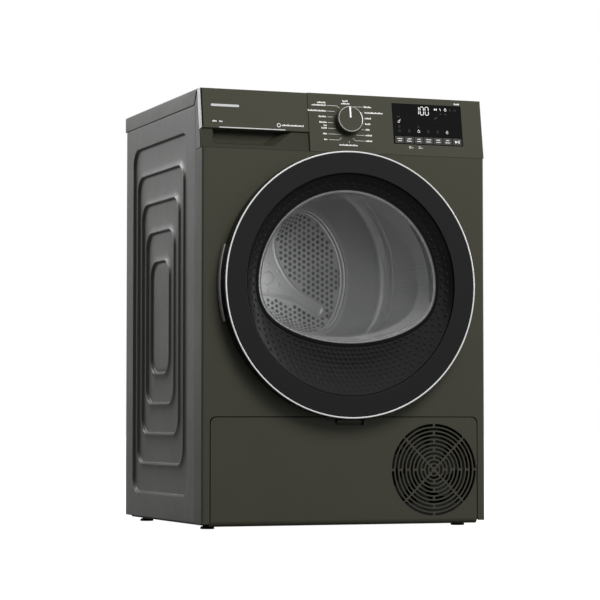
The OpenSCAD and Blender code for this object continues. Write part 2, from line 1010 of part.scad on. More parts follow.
module evaporator() {
    finned_block(-190, -100);
}

module condenser() {
    finned_block(-84, 60);
}

// Block of fins between two end plates
module finned_block(y0, y1) {
    fin_gap = 6;
    color([0.8, 0.81, 0.82])
        difference() {
            span([exchanger_x0, y0, 34], [exchanger_x1, y1, exchanger_z1]);
            for (x = [exchanger_x0 + 14 : 2 * fin_gap : exchanger_x1 - 20])
                span([x, y0 - 1, 42], [x + fin_gap, y1 + 1, exchanger_z1 - 8]);
        }
}

// Round tube through a list of points
module tube(points, r) {
    for (i = [0 : len(points) - 2]) {
        a = points[i];
        d = points[i + 1] - a;
        translate(a)
            rotate([0, acos(d[2] / norm(d)), atan2(d[1], d[0])])
                cylinder(r = r, h = norm(d), $fn = 32);
        if (i > 0)
            translate(a)
                sphere(r = r, $fn = 32);
    }
}

module refrigerant_pipes() {
    top = 206;
    color([0.75, 0.42, 0.25]) {
        tube([[100, -70, 190.5], [100, -70, top], [-80, -92, top], [-80, -92, 150]], 4);
        tube([[82, -55, 190.5], [82, -55, top], [82, 0, top], [-80, 0, top],
            [-80, 0, exchanger_z1 + 0.2]], 4);
    }
}

module condensate_pump() {
    color([0.85, 0.85, 0.83]) {
        span([-170, 120, base_floor], [-110, 185, 62]);
        translate([-140, 152, 61])
            cylinder(r = 20, h = 26);
        translate([-140, 152, 86])
            cylinder(r = 6, h = 12);
    }
}

// ---------- connections ----------

spigot_x = -225;
spigot_z = 150;
spigot_r = 8;
inlet_x = 230;
inlet_z = 735;

module drain_spigot() {
    color([0.2, 0.2, 0.2])
        difference() {
            union() {
                bar_y(spigot_x, spigot_z, spigot_r - 1, rear_y - 16, rear_y);
                bar_y(spigot_x, spigot_z, 15, rear_y - 5, rear_y - sheet_t);
                bar_y(spigot_x, spigot_z, 9.6, rear_y - sheet_t, rear_y + 2);
                bar_y(spigot_x, spigot_z, spigot_r, rear_y + 1, rear_y + 17);
            }
            bar_y(spigot_x, spigot_z, 5, rear_y - 17, rear_y + 18);
        }
}

module mains_inlet() {
    cable_r = 4.5;
    color([0.15, 0.15, 0.15])
        difference() {
            union() {
                span([inlet_x - 15, rear_y - 12, inlet_z - 15], [inlet_x + 15, rear_y + 1, inlet_z + 15]);
                span([inlet_x - 20, rear_y, inlet_z - 20], [inlet_x + 20, rear_y + 3, inlet_z + 20]);
                bar_y(inlet_x, inlet_z, 10, rear_y, rear_y + 10);
            }
            bar_y(inlet_x, inlet_z, cable_r, rear_y, rear_y + 11);
            bar_y(inlet_x, inlet_z, cable_r + 2, rear_y - 13, rear_y + 0.6);
        }
}

module cabinet_screws() {
    color([0.75, 0.75, 0.76]) {
        screw_spots() {
            cylinder(r = 4, h = 2.4);
            translate([0, 0, -6])
                cylinder(r = 2, h = 7);
        }
        for (i = [0 : cover_screws - 1])
            rotate_about_drum(22.5 + i * 360 / cover_screws)
                translate([cover_r - 6, rear_y + 1.6, 0])
                    rotate([-90, 0, 0]) {
                        cylinder(r = 4, h = 2.4);
                        translate([0, 0, -5])
                            cylinder(r = 2, h = 6);
                    }
    }
}

// ---------- door ----------

module door_catch() {
    color([0.16, 0.16, 0.16])
        difference() {
            span([hook_x - 12, front_y + sheet_t, door_z - 20], [hook_x + 9, front_y + 24, door_z + 20]);
            span([hook_x - 8, front_y, door_z - 15], [hook_x + 8, front_y + 20, door_z + 15]);
        }
}

module hinge_bracket() {
    color([0.6, 0.6, 0.61]) {
        span([hinge_x - 16, front_y + sheet_t, door_z - 75],
            [hinge_x + 16, front_y + sheet_t + 3, door_z + 75]);
        for (z = hinge_spots) {
            span([hinge_x - 2, hinge_y, z - hinge_half],
                [hinge_x + 2, front_y + sheet_t + 1, z + hinge_half]);
            translate([hinge_x, hinge_y, z - hinge_half])
                cylinder(r = 4, h = 2 * hinge_half);
            translate([hinge_x, hinge_y, z - pin_half])
                cylinder(r = pin_r, h = 2 * pin_half);
        }
    }
}

// Room for the hinge knuckles and arms in the door's rim
module hinge_notches() {
    for (z = hinge_spots)
        span([hinge_x - 5, door_front + trim_depth + 0.4, z - hinge_half - 0.5],
            [door_r + 2, front_y, z + hinge_half + 0.5]);
}

module door_outer_ring() {
    face = 3;
    wall = 2.6;
    outer = door_r - 0.4;
    y0 = door_front + 0.8;
    color([0.13, 0.13, 0.13])
        difference() {
            turn_y(0, door_z, 192)
                polygon([[seam_r + gap, y0 + face], [seam_r + gap, y0 + 0.8], [seam_r + 1.2, y0],
                    [door_r - 3.2, y0], [door_r - 3.2, y0 + 2.6], [outer, y0 + 2.6],
                    [outer, door_back - 2], [outer - 3.2, door_back], [outer - wall - 1.4, door_back],
                    [outer - wall - 1.4, y0 + 6], [outer - wall - 3, y0 + face]]);
            hinge_notches();
        }
}

module door_trim_ring() {
    color([0.95, 0.95, 0.95])
        turn_y(0, door_z, 192)
            polygon([[door_r - 3, door_front + 0.3], [door_r - 2.4, door_front],
                [door_r - 0.6, door_front], [door_r, door_front + 0.6],
                [door_r, door_front + trim_depth], [door_r - 3, door_front + trim_depth]]);
}

// Window outline: round at the top, a flatter arc at the bottom
module window_outline(grow) {
    intersection() {
        translate([0, door_z])
            circle(window_r + grow, $fn = 128);
        translate([0, door_z - window_drop + window_low_r])
            circle(window_low_r + grow, $fn = 192);
    }
}

module door_inner_cone() {
    y0 = door_front + 2.5;
    y1 = front_y - 13;
    t = 2.5;
    color([0.1, 0.1, 0.1])
        difference() {
            union() {
                turn_y(0, door_z, 192)
                    polygon([[seam_r, y0], [seam_r, y0 + t], [window_r + 2, y1 + t],
                        [window_r - 1, y1 + t], [window_r - 1, y1]]);
                along_y(y1, y1 + t)
                    translate([0, door_z])
                        circle(window_r + 1);
            }
            along_y(door_front - 1, front_y)
                window_outline(-1);
        }
}

module bowl_solid(inset, y0) {
    y1 = front_y + bowl_depth - inset;
    intersection() {
        turn_y(0, door_z)
            polygon([[0, y0], [window_r - inset, y0], [window_r - inset, front_y + 10],
                [window_r - 16 - inset, y1 - 20], [window_r - 36 - inset, y1], [0, y1]]);
        along_y(front_y - 30, front_y + 120)
            window_outline(-inset);
    }
}

module door_glass() {
    t = 4;
    color([0.75, 0.8, 0.82, 0.35])
        difference() {
            union() {
                bowl_solid(3, front_y - 9.5);
                along_y(front_y - 10.3, front_y - 8)
                    window_outline(3);
            }
            bowl_solid(3 + t, front_y - 11);
        }
}

module door_back_ring() {
    y0 = front_y - 10;
    plate_y = front_y - 5;
    color([0.2, 0.2, 0.2]) {
        difference() {
            turn_y(0, door_z, 192)
                polygon([[window_r + 6, y0], [window_r + 9, y0], [window_r + 9, plate_y],
                    [door_r - 6.5, plate_y], [door_r - 6.5, plate_y + 3], [212, plate_y + 3],
                    [211, front_y + 13.8], [208, front_y + 13.8], [208, plate_y + 3],
                    [window_r + 6, plate_y + 3]]);
            hinge_notches();
        }
        for (z = hinge_spots, s = [-1, 1])
            hinge_boss(z + s * (pin_half - 2.6));
        span([hook_x - 3, plate_y + 2, door_z - 9], [hook_x + 1, front_y + 15, door_z + 9]);
        span([hook_x - 5, front_y + 10, door_z - 9], [hook_x + 1, front_y + 15, door_z + 9]);
    }
}

module hinge_boss(z) {
    difference() {
        intersection() {
            union() {
                translate([hinge_x, hinge_y, z - 2.4])
                    cylinder(r = 3.8, h = 4.8);
                span([hinge_x - 3.8, hinge_y, z - 2.4], [hinge_x, front_y - 4.5, z + 2.4]);
            }
            bar_y(0, door_z, door_r - 4.8, hinge_y - 5, front_y);
        }
        translate([hinge_x, hinge_y, z - 4])
            cylinder(r = pin_r + running, h = 8);
    }
}

module door_handle_lip() {
    spread = 17.3;
    y1 = front_y - 1.4;
    color([0.5, 0.5, 0.5])
        turn_arc(180 - spread, 2 * spread)
            polygon([[door_r - 0.2, y1 - 12], [door_r + 4.6, y1 - 9], [door_r + 5.6, y1],
                [door_r - 0.2, y1]]);
}

// Turns a drawing of (radius, y) about the door's axis over part of a circle
module turn_arc(start, sweep) {
    translate([0, 0, door_z])
        rotate([-90, 0, 0])
            rotate(start)
                rotate_extrude(angle = sweep, $fn = 192)
                    children();
}

left_side_panel();
right_side_panel();
rear_panel();
rear_duct_cover();
worktop();
front_panel();
control_fascia();
base_tray();
front_bulkhead();
rear_bulkhead();
drum_bearing();
door_seal();
lint_filter();
drive_belt();
motor();
compressor();
evaporator();
condenser();
refrigerant_pipes();
condensate_pump();
exchanger_cover();
tank_chute();
display_window();
control_board();
drain_spigot();
mains_inlet();
door_catch();
hinge_bracket();
cabinet_screws();
door_outer_ring();
door_trim_ring();
door_inner_cone();
door_glass();
door_back_ring();
door_handle_lip();
water_tank();
tank_front();
tank_trims();
kick_panel();
kick_latch();
drum_shell();
drum_back_plate();
drum_spider();
drum_lifters();
motor_rotor();
drum_roller(-1);  // roller_left
drum_roller(1);  // roller_right
cooling_fan();
program_knob();
key(0);  // key_1
key(1);  // key_2
key(2);  // key_3
key(3);  // key_4
key(4);  // key_5
key(5);  // key_6
key(6);  // key_7
foot(0);  // foot_front_left
foot(1);  // foot_front_right
foot(2);  // foot_rear_left
foot(3);  // foot_rear_right
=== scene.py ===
import json
import math

import bmesh
import bpy
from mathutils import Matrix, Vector
from mathutils.kdtree import KDTree


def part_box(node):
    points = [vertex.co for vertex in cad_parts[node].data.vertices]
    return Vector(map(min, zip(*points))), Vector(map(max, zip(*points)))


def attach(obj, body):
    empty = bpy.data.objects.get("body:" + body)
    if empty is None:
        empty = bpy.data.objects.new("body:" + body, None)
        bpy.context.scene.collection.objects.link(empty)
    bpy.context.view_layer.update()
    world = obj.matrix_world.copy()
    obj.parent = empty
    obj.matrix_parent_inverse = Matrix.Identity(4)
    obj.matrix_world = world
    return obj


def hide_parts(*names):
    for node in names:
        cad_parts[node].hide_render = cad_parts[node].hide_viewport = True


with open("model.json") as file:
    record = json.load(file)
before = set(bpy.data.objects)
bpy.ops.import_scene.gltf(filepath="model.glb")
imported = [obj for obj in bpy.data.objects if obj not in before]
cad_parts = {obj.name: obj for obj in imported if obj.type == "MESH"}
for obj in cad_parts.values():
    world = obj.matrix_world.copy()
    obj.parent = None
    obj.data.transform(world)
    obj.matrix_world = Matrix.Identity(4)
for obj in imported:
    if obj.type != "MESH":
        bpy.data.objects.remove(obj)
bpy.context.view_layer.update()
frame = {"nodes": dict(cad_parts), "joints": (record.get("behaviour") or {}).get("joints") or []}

MM = 0.001


def box_mm(node):
    """Lowest and highest corner of a CAD node, in millimetres."""
    low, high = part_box(node)
    return low / MM, high / MM


def middle(low, high, axes="xz"):
    """Centre of a box on two of its axes."""
    return [(getattr(low, axis) + getattr(high, axis)) / 2 for axis in axes]


def half_size(low, high, axes="xz"):
    """Half of a box's size on two of its axes."""
    return [(getattr(high, axis) - getattr(low, axis)) / 2 for axis in axes]


# ---------- places taken from the frame ----------

panel_low, panel_high = box_mm("front_panel")
HALF_W = panel_high.x
FRONT_Y = panel_low.y
WRAP_Y = panel_high.y
SKIRT_Z = panel_low.z
PANEL_TOP = panel_high.z
SEAM_Z = PANEL_TOP + 0.3

trim_low, trim_high = box_mm("door_trim_ring")
DOOR_R = trim_high.x
DOOR_Z = (trim_low.z + trim_high.z) / 2
DOOR_AXIS = (0, DOOR_Z)
DOOR_FRONT = trim_low.y

drum_low, drum_high = box_mm("drum_shell")
DRUM_R = drum_high.x
DRUM_Z = (drum_low.z + drum_high.z) / 2
DRUM_AXIS = (0, DRUM_Z)

rear_low, rear_high = box_mm("rear_panel")
REAR_Y = rear_high.y
TOP_LOW, TOP_HIGH = box_mm("worktop")
GLASS_LOW, GLASS_HIGH = box_mm("door_glass")

FASCIA_TILT = math.radians(9)
FASCIA_LENGTH = (TOP_HIGH.z - SEAM_Z) / math.cos(FASCIA_TILT)


# ---------- flat outlines ----------

def arc(centre, radius, start, end, steps):
    """Points along part of a circle, both ends included, angles in degrees."""
    angles = [math.radians(start + (end - start) * i / steps) for i in range(steps + 1)]
    return [(centre[0] + radius * math.cos(a), centre[1] + radius * math.sin(a)) for a in angles]


def circle(centre, radius, steps=192):
    """Closed outline of a circle."""
    return arc(centre, radius, 0, 360, steps)[:-1]


def rounded_rectangle(centre, half_u, half_v, radius, steps=6):
    """Anticlockwise outline that starts on the right side."""
    outline = []
    for su, sv, start in ((1, 1, 0), (-1, 1, 90), (-1, -1, 180), (1, -1, 270)):
        corner = (centre[0] + su * (half_u - radius), centre[1] + sv * (half_v - radius))
        outline += arc(corner, radius, start, start + 90, steps)
    return outline


def between(u0, v0, u1, v1, radius, steps=4):
    """Rounded rectangle given by two corners."""
    centre = ((u0 + u1) / 2, (v0 + v1) / 2)
    return rounded_rectangle(centre, abs(u1 - u0) / 2, abs(v1 - v0) / 2, radius, steps)


def soften(corners, radius, steps=4):
    """The closed outline with each corner rounded, as far as its edges are long enough."""
    outline = []
    for i, corner in enumerate(corners):
        here = Vector(corner)
        before = Vector(corners[i - 1]) - here
        after = Vector(corners[(i + 1) % len(corners)]) - here
        reach = min(radius, before.length * 0.45, after.length * 0.45)
        start = here + before.normalized() * reach
        end = here + after.normalized() * reach
        for t in [k / steps for k in range(steps + 1)]:
            outline.append(tuple(start * (1 - t) ** 2 + here * 2 * t * (1 - t) + end * t ** 2))
    return outline


def heading(angle):
    """Unit vector at an angle in radians, and the one square to it."""
    return Vector((math.cos(angle), math.sin(angle))), Vector((-math.sin(angle), math.cos(angle)))


# ---------- places for flat drawings ----------

def facing(u, v, w):
    """u is x, v is height and w is depth along Y."""
    return (u, w, v)


def upright(u, v, w):
    """u is x, v is y and w is height."""
    return (u, v, w)


def sideways(u, v, w):
    """u is y, v is height and w is x."""
    return (w, u, v)


def slope(v, w):
    """Depth and height of a point v up the slope of the fascia and w into the machine."""
    return (FRONT_Y + w * math.cos(FASCIA_TILT) + v * math.sin(FASCIA_TILT),
            SEAM_Z - w * math.sin(FASCIA_TILT) + v * math.cos(FASCIA_TILT))


def on_fascia(u, v, w):
    """u is x, v runs up the slope of the fascia and w goes into the machine."""
    return (u, *slope(v, w))


def placed(outline, w, place=facing):
    """A flat outline as a ring of points in space."""
    return [place(u, v, w) for u, v in outline]


# ---------- solids and sheets: each is (points, faces) ----------

def loft(rings, closed=False, caps=2, around=True):
    """Skin through rings of equally many points. closed joins the last ring to the first. Without it,
    caps says how many ends are shut: both, the last or none. around closes each ring."""
    size = len(rings[0])
    points = [p for ring in rings for p in ring]
    faces = []
    for a in range(len(rings) if closed else len(rings) - 1):
        b = (a + 1) % len(rings)
        for i in range(size if around else size - 1):
            j = (i + 1) % size
            faces.append((a * size + i, a * size + j, b * size + j, b * size + i))
    if not closed:
        first = tuple(reversed(range(size)))
        last = tuple(range(len(points) - size, len(points)))
        faces += [first, last][2 - caps:]
    return points, faces


def turned(profile, centre, place=facing, steps=192, start=0, sweep=360, soft=(), around=True):
    """Solid turned about an axis from a profile of (radius, w). soft is what soften() rounds it by, and
    around=False leaves the profile open, for a sheet."""
    if soft:
        profile = soften(profile, *soft)
    full = sweep == 360
    angles = [math.radians(start + sweep * i / steps) for i in range(steps if full else steps + 1)]
    rings = [[place(centre[0] + r * math.cos(a), centre[1] + r * math.sin(a), w) for r, w in profile]
             for a in angles]
    return loft(rings, closed=full, around=around)


def slab(outline, near, far, place=facing):
    """Solid of one outline between two depths."""
    return loft([placed(outline, near, place), placed(outline, far, place)])


def sheet(outline, holes, w, place=facing):
    """Flat single surface with holes."""
    shape = bmesh.new()
    edges = []
    for loop in [outline] + holes:
        ring = [shape.verts.new((u, v, 0)) for u, v in loop]
        edges += [shape.edges.new((ring[i - 1], ring[i])) for i in range(len(ring))]
    bmesh.ops.triangle_fill(shape, use_beauty=True, edges=edges)
    shape.verts.index_update()
    points = [place(v.co.x, v.co.y, w) for v in shape.verts]
    faces = [tuple(v.index for v in face.verts) for face in shape.faces]
    shape.free()
    return points, faces


def plate(outline, holes, near, far, place=facing):
    """Flat solid with holes through it."""
    front, faces = sheet(outline, holes, near, place)
    back = sheet(outline, holes, far, place)[0]
    count = len(front)
    walls = []
    start = 0
    for loop in [outline] + holes:
        for i in range(len(loop)):
            a, b = start + i, start + (i + 1) % len(loop)
            walls.append((a, b, count + b, count + a))
        start += len(loop)
    behind = [tuple(count + i for i in reversed(face)) for face in faces]
    return front + back, faces + behind + walls


def washer(centre, outer, inner, near, far, place, steps=20):
    """Flat ring."""
    return plate(circle(centre, outer, steps), [circle(centre, inner, steps)], near, far, place)


def block(low, high):
    """Box between two corners."""
    return slab([(low[0], low[1]), (high[0], low[1]), (high[0], high[1]), (low[0], high[1])],
                low[2], high[2], upright)


def joined(*shapes):
    """Several (points, faces) as one."""
    points, faces = [], []
    for more, skins in shapes:
        faces += [tuple(len(points) + i for i in face) for face in skins]
        points += more
    return points, faces


# ---------- from shapes to Blender pieces ----------

def linked(name, data):
    """New object in the scene."""
    made = bpy.data.objects.new(name, data)
    bpy.context.scene.collection.objects.link(made)
    return made


def new_object(name, shapes, finishes):
    """Mesh object from one shape for each finish."""
    mesh = bpy.data.meshes.new(name)
    points, faces = joined(*shapes)
    mesh.from_pydata([Vector(p) * MM for p in points], [], faces)
    for finish in finishes:
        mesh.materials.append(FINISHES[finish])
    owners = [i for i, shape in enumerate(shapes) for _ in shape[1]]
    mesh.polygons.foreach_set("material_index", owners)
    shape = bmesh.new()
    shape.from_mesh(mesh)
    bmesh.ops.remove_doubles(shape, verts=shape.verts, dist=0.01 * MM)
    bmesh.ops.recalc_face_normals(shape, faces=shape.faces)
    shape.to_mesh(mesh)
    shape.free()
    return linked(name, mesh)


def cut(made, cutter_shape):
    """Takes a shape out of an object's mesh."""
    cutter = new_object(made.name + "_cutter", [cutter_shape], [])
    knife = made.modifiers.new("cut", "BOOLEAN")
    knife.operation = "DIFFERENCE"
    knife.solver = "EXACT"
    knife.object = cutter
    graph = bpy.context.evaluated_depsgraph_get()
    result = bpy.data.meshes.new_from_object(made.evaluated_get(graph))
    made.modifiers.remove(knife)
    made.data = result
    bpy.data.objects.remove(cutter)


def round_edges(made, width, sharp, segments=2):
    """Bevel on the edges that turn by more than sharp degrees."""
    soft = made.modifiers.new("edges", "BEVEL")
    soft.width = width * MM
    soft.segments = segments
    soft.limit_method = "ANGLE"
    soft.angle_limit = math.radians(sharp)


def dress(made, thickness=0, outward=False, bevel=0, segments=2, sharp=35):
    """Sheet thickness, rounded edges and smooth shading."""
    if thickness:
        solid = made.modifiers.new("thickness", "SOLIDIFY")
        solid.thickness = thickness * MM
        solid.offset = 1 if outward else -1
    if bevel:
        round_edges(made, bevel, sharp, segments)
    made.data.shade_smooth()
    made.data.set_sharp_from_angle(angle=math.radians(sharp))
    flat = made.modifiers.new("normals", "WEIGHTED_NORMAL")
    flat.keep_sharp = True


def piece(name, body, slot, shapes, finishes=None, stands_for=None, cutters=(), **looks):
    """A visible piece that rides on a body. Listed shapes and finishes go in pairs. A lone shape gets
    the one finish named, or the finish with the slot's name."""
    if isinstance(shapes, tuple):
        shapes, finishes = [shapes], [finishes or slot]
    made = new_object(name, shapes, finishes)
    for cutter in cutters:
        cut(made, cutter)
    dress(made, **looks)
    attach(made, body)
    if stands_for:
        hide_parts(stands_for)
    return made


# ---------- materials ----------

FINISHES = {}
CLOUD_MM = 90
WEAR_MM = 14


def feed(node, inputs):
    """Gives each named input of a shader node its value, or the socket that feeds it."""
    for name, value in inputs.items():
        if isinstance(value, bpy.types.NodeSocket):
            node.id_data.links.new(value, node.inputs[name])
        else:
            node.inputs[name].default_value = value


def add_node(tree, kind, inputs=(), **settings):
    """New shader node with its settings and inputs."""
    node = tree.nodes.new("ShaderNode" + kind)
    for name, value in settings.items():
        setattr(node, name, value)
    feed(node, dict(inputs))
    return node


def times_plus(tree, value, factor, extra):
    """Socket that holds value times factor plus extra."""
    inputs = {0: value, 1: factor, 2: extra}
    return add_node(tree, "Math", inputs, operation="MULTIPLY_ADD").outputs["Value"]


def principled(finish):
    """The node that a material's looks come from."""
    return finish.node_tree.nodes["Principled BSDF"]


def material(name, colour, rough, metallic, mottle, grain, bump, spread=0.12, stretch=(1, 1, 1),
             marks=0.25, **socket_values):
    """Procedural finish. rough is its middle roughness and spread how far that wanders; mottle is the
    share by which the colour wanders; grain is the size in mm of the surface texture and bump its depth;
    stretch draws the texture out along an axis; marks is how strongly faint wear shows in the gloss."""
    made = bpy.data.materials.new(name)
    made.use_nodes = True
    tree = made.node_tree

    def noise(size_mm, detail, place):
        inputs = {"Scale": 1000 / size_mm, "Detail": detail, "Vector": place}
        return add_node(tree, "TexNoise", inputs).outputs["Fac"]

    def in_range(value, low, high):
        inputs = {"From Min": 0.3, "From Max": 0.7, "To Min": low, "To Max": high, "Value": value}
        return add_node(tree, "MapRange", inputs).outputs["Result"]

    place = add_node(tree, "TexCoord").outputs["Object"]
    drawn_out = add_node(tree, "Mapping", {"Scale": stretch, "Vector": place}).outputs["Vector"]
    cloud = noise(CLOUD_MM, 4, place)
    wear = noise(WEAR_MM, 6, drawn_out)
    fine = noise(grain, 3, drawn_out)

    wander = max(mottle, 0.03)
    darker = [c * (1 - wander) for c in colour]
    paler = [min(1, c * (1 + wander)) for c in colour]
    blend = times_plus(tree, in_range(cloud, 0, 1), 0.5, in_range(fine, 0, 0.5))
    tint = add_node(tree, "Mix", {"A": (*darker, 1), "B": (*paler, 1), "Factor": blend}, data_type="RGBA")
    worn = in_range(wear, -rough * spread * 2, rough * spread * 2)
    gloss = times_plus(tree, worn, marks, in_range(cloud, rough * (1 - spread), rough * (1 + spread)))
    relief = add_node(tree, "Bump", {"Strength": bump, "Distance": grain * MM, "Height": fine})
    feed(principled(made), {socket.replace("_", " "): value for socket, value in socket_values.items()})
    feed(principled(made), {"Metallic": metallic, "Base Color": tint.outputs["Result"],
                            "Roughness": gloss, "Normal": relief.outputs["Normal"]})
    FINISHES[name] = made
    return made


def cloud_by_depth(finish, start, end, milky, clear):
    """Lets less light straight through nearer the front than start, and more of it past end."""
    tree = finish.node_tree
    split = add_node(tree, "SeparateXYZ", {0: add_node(tree, "TexCoord").outputs["Object"]})
    ramp = add_node(tree, "MapRange", {"Value": split.outputs["Y"], "From Min": start * MM,
                                       "From Max": end * MM, "To Min": milky, "To Max": clear})
    feed(principled(finish), {"Transmission Weight": ramp.outputs["Result"]})


def add_dots(finish, pitch_mm, dot_mm, depth):
    """Adds rows of small pressed dots to a material's relief and darkens them a little, as painted shade in
    the dots.
    """
    tree = finish.node_tree
    shader = principled(finish)
    plain_relief = shader.inputs["Normal"].links[0].from_socket
    plain_colour = shader.inputs["Base Color"].links[0].from_socket
    cells = add_node(tree, "TexVoronoi", {"Scale": 1000 / pitch_mm, "Randomness": 0.0,
                                          "Vector": add_node(tree, "TexCoord").outputs["Object"]})
    edge = dot_mm / pitch_mm / 2
    hole = add_node(tree, "MapRange", {"From Min": edge * 0.8, "From Max": edge * 1.2,
                                       "Value": cells.outputs["Distance"]}).outputs["Result"]
    pressed = add_node(tree, "Bump", {"Strength": depth, "Distance": dot_mm * MM * 0.3, "Height": hole,
                                      "Normal": plain_relief})
    # painted shade: the colour is darkened inside each dot
    dark = add_node(tree, "MapRange", {"To Min": 0.55, "To Max": 1.0, "Value": hole})
    shade = add_node(tree, "Mix", {"Factor": 1.0, "A": plain_colour, "B": dark.outputs["Result"]},
                     data_type="RGBA", blend_type="MULTIPLY")
    feed(shader, {"Normal": pressed.outputs["Normal"], "Base Color": shade.outputs["Result"]})


def glowing(name, colour, strength):
    """Lit symbol behind the display glass, a little uneven as a printed mask is."""
    made = material(name, colour, 0.4, 0, 0, 0.4, 0.02)
    tree = made.node_tree
    uneven = add_node(tree, "TexNoise", {"Scale": 400})
    level = add_node(tree, "MapRange", {"To Min": strength * 0.8, "To Max": strength * 1.2,
                                        "Value": uneven.outputs["Fac"]})
    feed(principled(made), {"Emission Color": (*colour, 1), "Emission Strength": level.outputs["Result"]})


OLIVE = (0.051, 0.050, 0.036)
SATIN = {"Specular_IOR_Level": 0.25}
ROLLED = {"stretch": (1, 0.15, 1), "spread": 0.15}

# name, colour, roughness, metallic, mottle, grain and bump
material("side_paint", (0.064, 0.063, 0.055), 0.40, 0, 0.04, 1.4, 0.05)
material("worktop_shell", (0.080, 0.079, 0.070), 0.5, 0, 0.04, 0.7, 0.10)
material("front_paint", OLIVE, 0.36, 0, 0.05, 1.2, 0.05, **SATIN)
material("front_plastic", OLIVE, 0.42, 0, 0.04, 0.5, 0.08, **SATIN)
material("recess_plastic", (0.036, 0.035, 0.025), 0.5, 0, 0.05, 0.5, 0.10, **SATIN)
material("zinc_sheet", (0.50, 0.51, 0.52), 0.46, 1, 0.08, 6, 0.04, 0.20, (1, 1, 0.6), 0.3)
# painted shade: this zinc gets a dark colour that stands for the shade behind the drum and inside the duct
# cover, not a darker metal
material("zinc_in_painted_shade", (0.11, 0.11, 0.112), 0.5, 0.3, 0.12, 6, 0.04)
material("drum_steel", (0.52, 0.52, 0.52), 0.36, 0.85, 0.04, 1.2, 0.03, **ROLLED)
add_dots(material("drum_wall", (0.42, 0.42, 0.42), 0.36, 0.85, 0.05, 1.2, 0.03, **ROLLED), 9, 3, 0.5)
material("dark_moulding", (0.030, 0.030, 0.032), 0.55, 0, 0.08, 0.6, 0.12)
material("door_gloss", (0.0095, 0.0095, 0.0097), 0.26, 0, 0.05, 3.0, 0.01, **SATIN)
material("door_cover", (0.0075, 0.0075, 0.0077), 0.34, 0, 0.06, 0.8, 0.04, **SATIN)
material("chrome_trim", (0.93, 0.93, 0.92), 0.12, 1, 0, 2, 0.01, 0.3)
material("door_bright", (0.93, 0.93, 0.92), 0.2, 0.5, 0, 2, 0.01, 0.3)
material("white_satin", (0.80, 0.80, 0.79), 0.3, 0.3, 0.03, 1.0, 0.03)
material("grey_lip", (0.30, 0.30, 0.29), 0.4, 0, 0.04, 0.5, 0.08)
material("bowl_glass", (0.97, 0.98, 0.98), 0.02, 0, 0, 40, 0.004, 0.6, Transmission_Weight=0.98, IOR=1.12)
cloud_by_depth(FINISHES["bowl_glass"], GLASS_LOW.y + 50, GLASS_LOW.y + 62, 0.90, 0.98)
material("display_black", (0.005, 0.005, 0.005), 0.2, 0, 0.05, 4, 0.005, Specular_IOR_Level=0.08)
material("key_face", (0.040, 0.039, 0.034), 0.4, 0, 0, 0.5, 0.06)
# white print; on the knob the same white also paints a highlight on the ring
material("white_print", (0.9, 0.9, 0.88), 0.5, 0, 0.05, 0.3, 0.06)
glowing("lit_symbol", (0.8, 0.8, 0.78), 0.6)
glowing("dim_symbol", (0.055, 0.055, 0.055), 0.15)
material("ring_silver", (0.55, 0.55, 0.54), 0.35, 0.3, 0, 0.5, 0.03)
material("tank_plastic", (0.72, 0.75, 0.78), 0.3, 0, 0.03, 2, 0.04, Transmission_Weight=0.45, IOR=1.46)
material("light_moulding", (0.42, 0.43, 0.43), 0.5, 0, 0.05, 0.7, 0.10)
material("circuit_green", (0.02, 0.13, 0.05), 0.35, 0, 0.25, 2.0, 0.2)
material("seal_black", (0.004, 0.004, 0.004), 0.6, 0, 0.1, 0.9, 0.1, Specular_IOR_Level=0.15)
material("rubber", (0.018, 0.018, 0.018), 0.7, 0, 0.15, 0.9, 0.18)
material("bronze", (0.55, 0.38, 0.16), 0.35, 1, 0.12, 0.8, 0.12)
material("copper_pipe", (0.65, 0.30, 0.16), 0.3, 1, 0.15, 3, 0.06)
material("aluminium_fins", (0.70, 0.71, 0.72), 0.35, 1, 0.06, 1, 0.08, stretch=(1, 1, 0.1))
material("cast_black", (0.020, 0.020, 0.021), 0.45, 0, 0.15, 1.6, 0.15)
material("motor_metal", (0.30, 0.30, 0.31), 0.45, 0.9, 0.12, 2.2, 0.15)


# ---------- cabinet: side panels, worktop, front panel ----------

EMBOSS_CENTRE = (29.4, 418)
EMBOSS_HALF = (187.8, 358)
EMBOSS_STEP = (31.3, 60.9)
EMBOSS_CORNER = 36
EMBOSS_COUNT = 5
# Rings of the side panel: (inset, depth), (growth, depth) and (share of the way, depth).
PANEL_EDGE = ((0.2, 7.5), (0, 1.6), (0.5, 0.5), (1.6, 0))
BORDER = ((0.9, 0.0), (-0.5, 0.3), (-1.6, 2.4), (-2.6, 4.9), (-4.0, 5.9), (-6.0, 5.6))
CLIMB = ((0.3, 5.7), (0.6, 5.1), (0.8, 4.3), (0.92, 3.4), (1, 0.9))


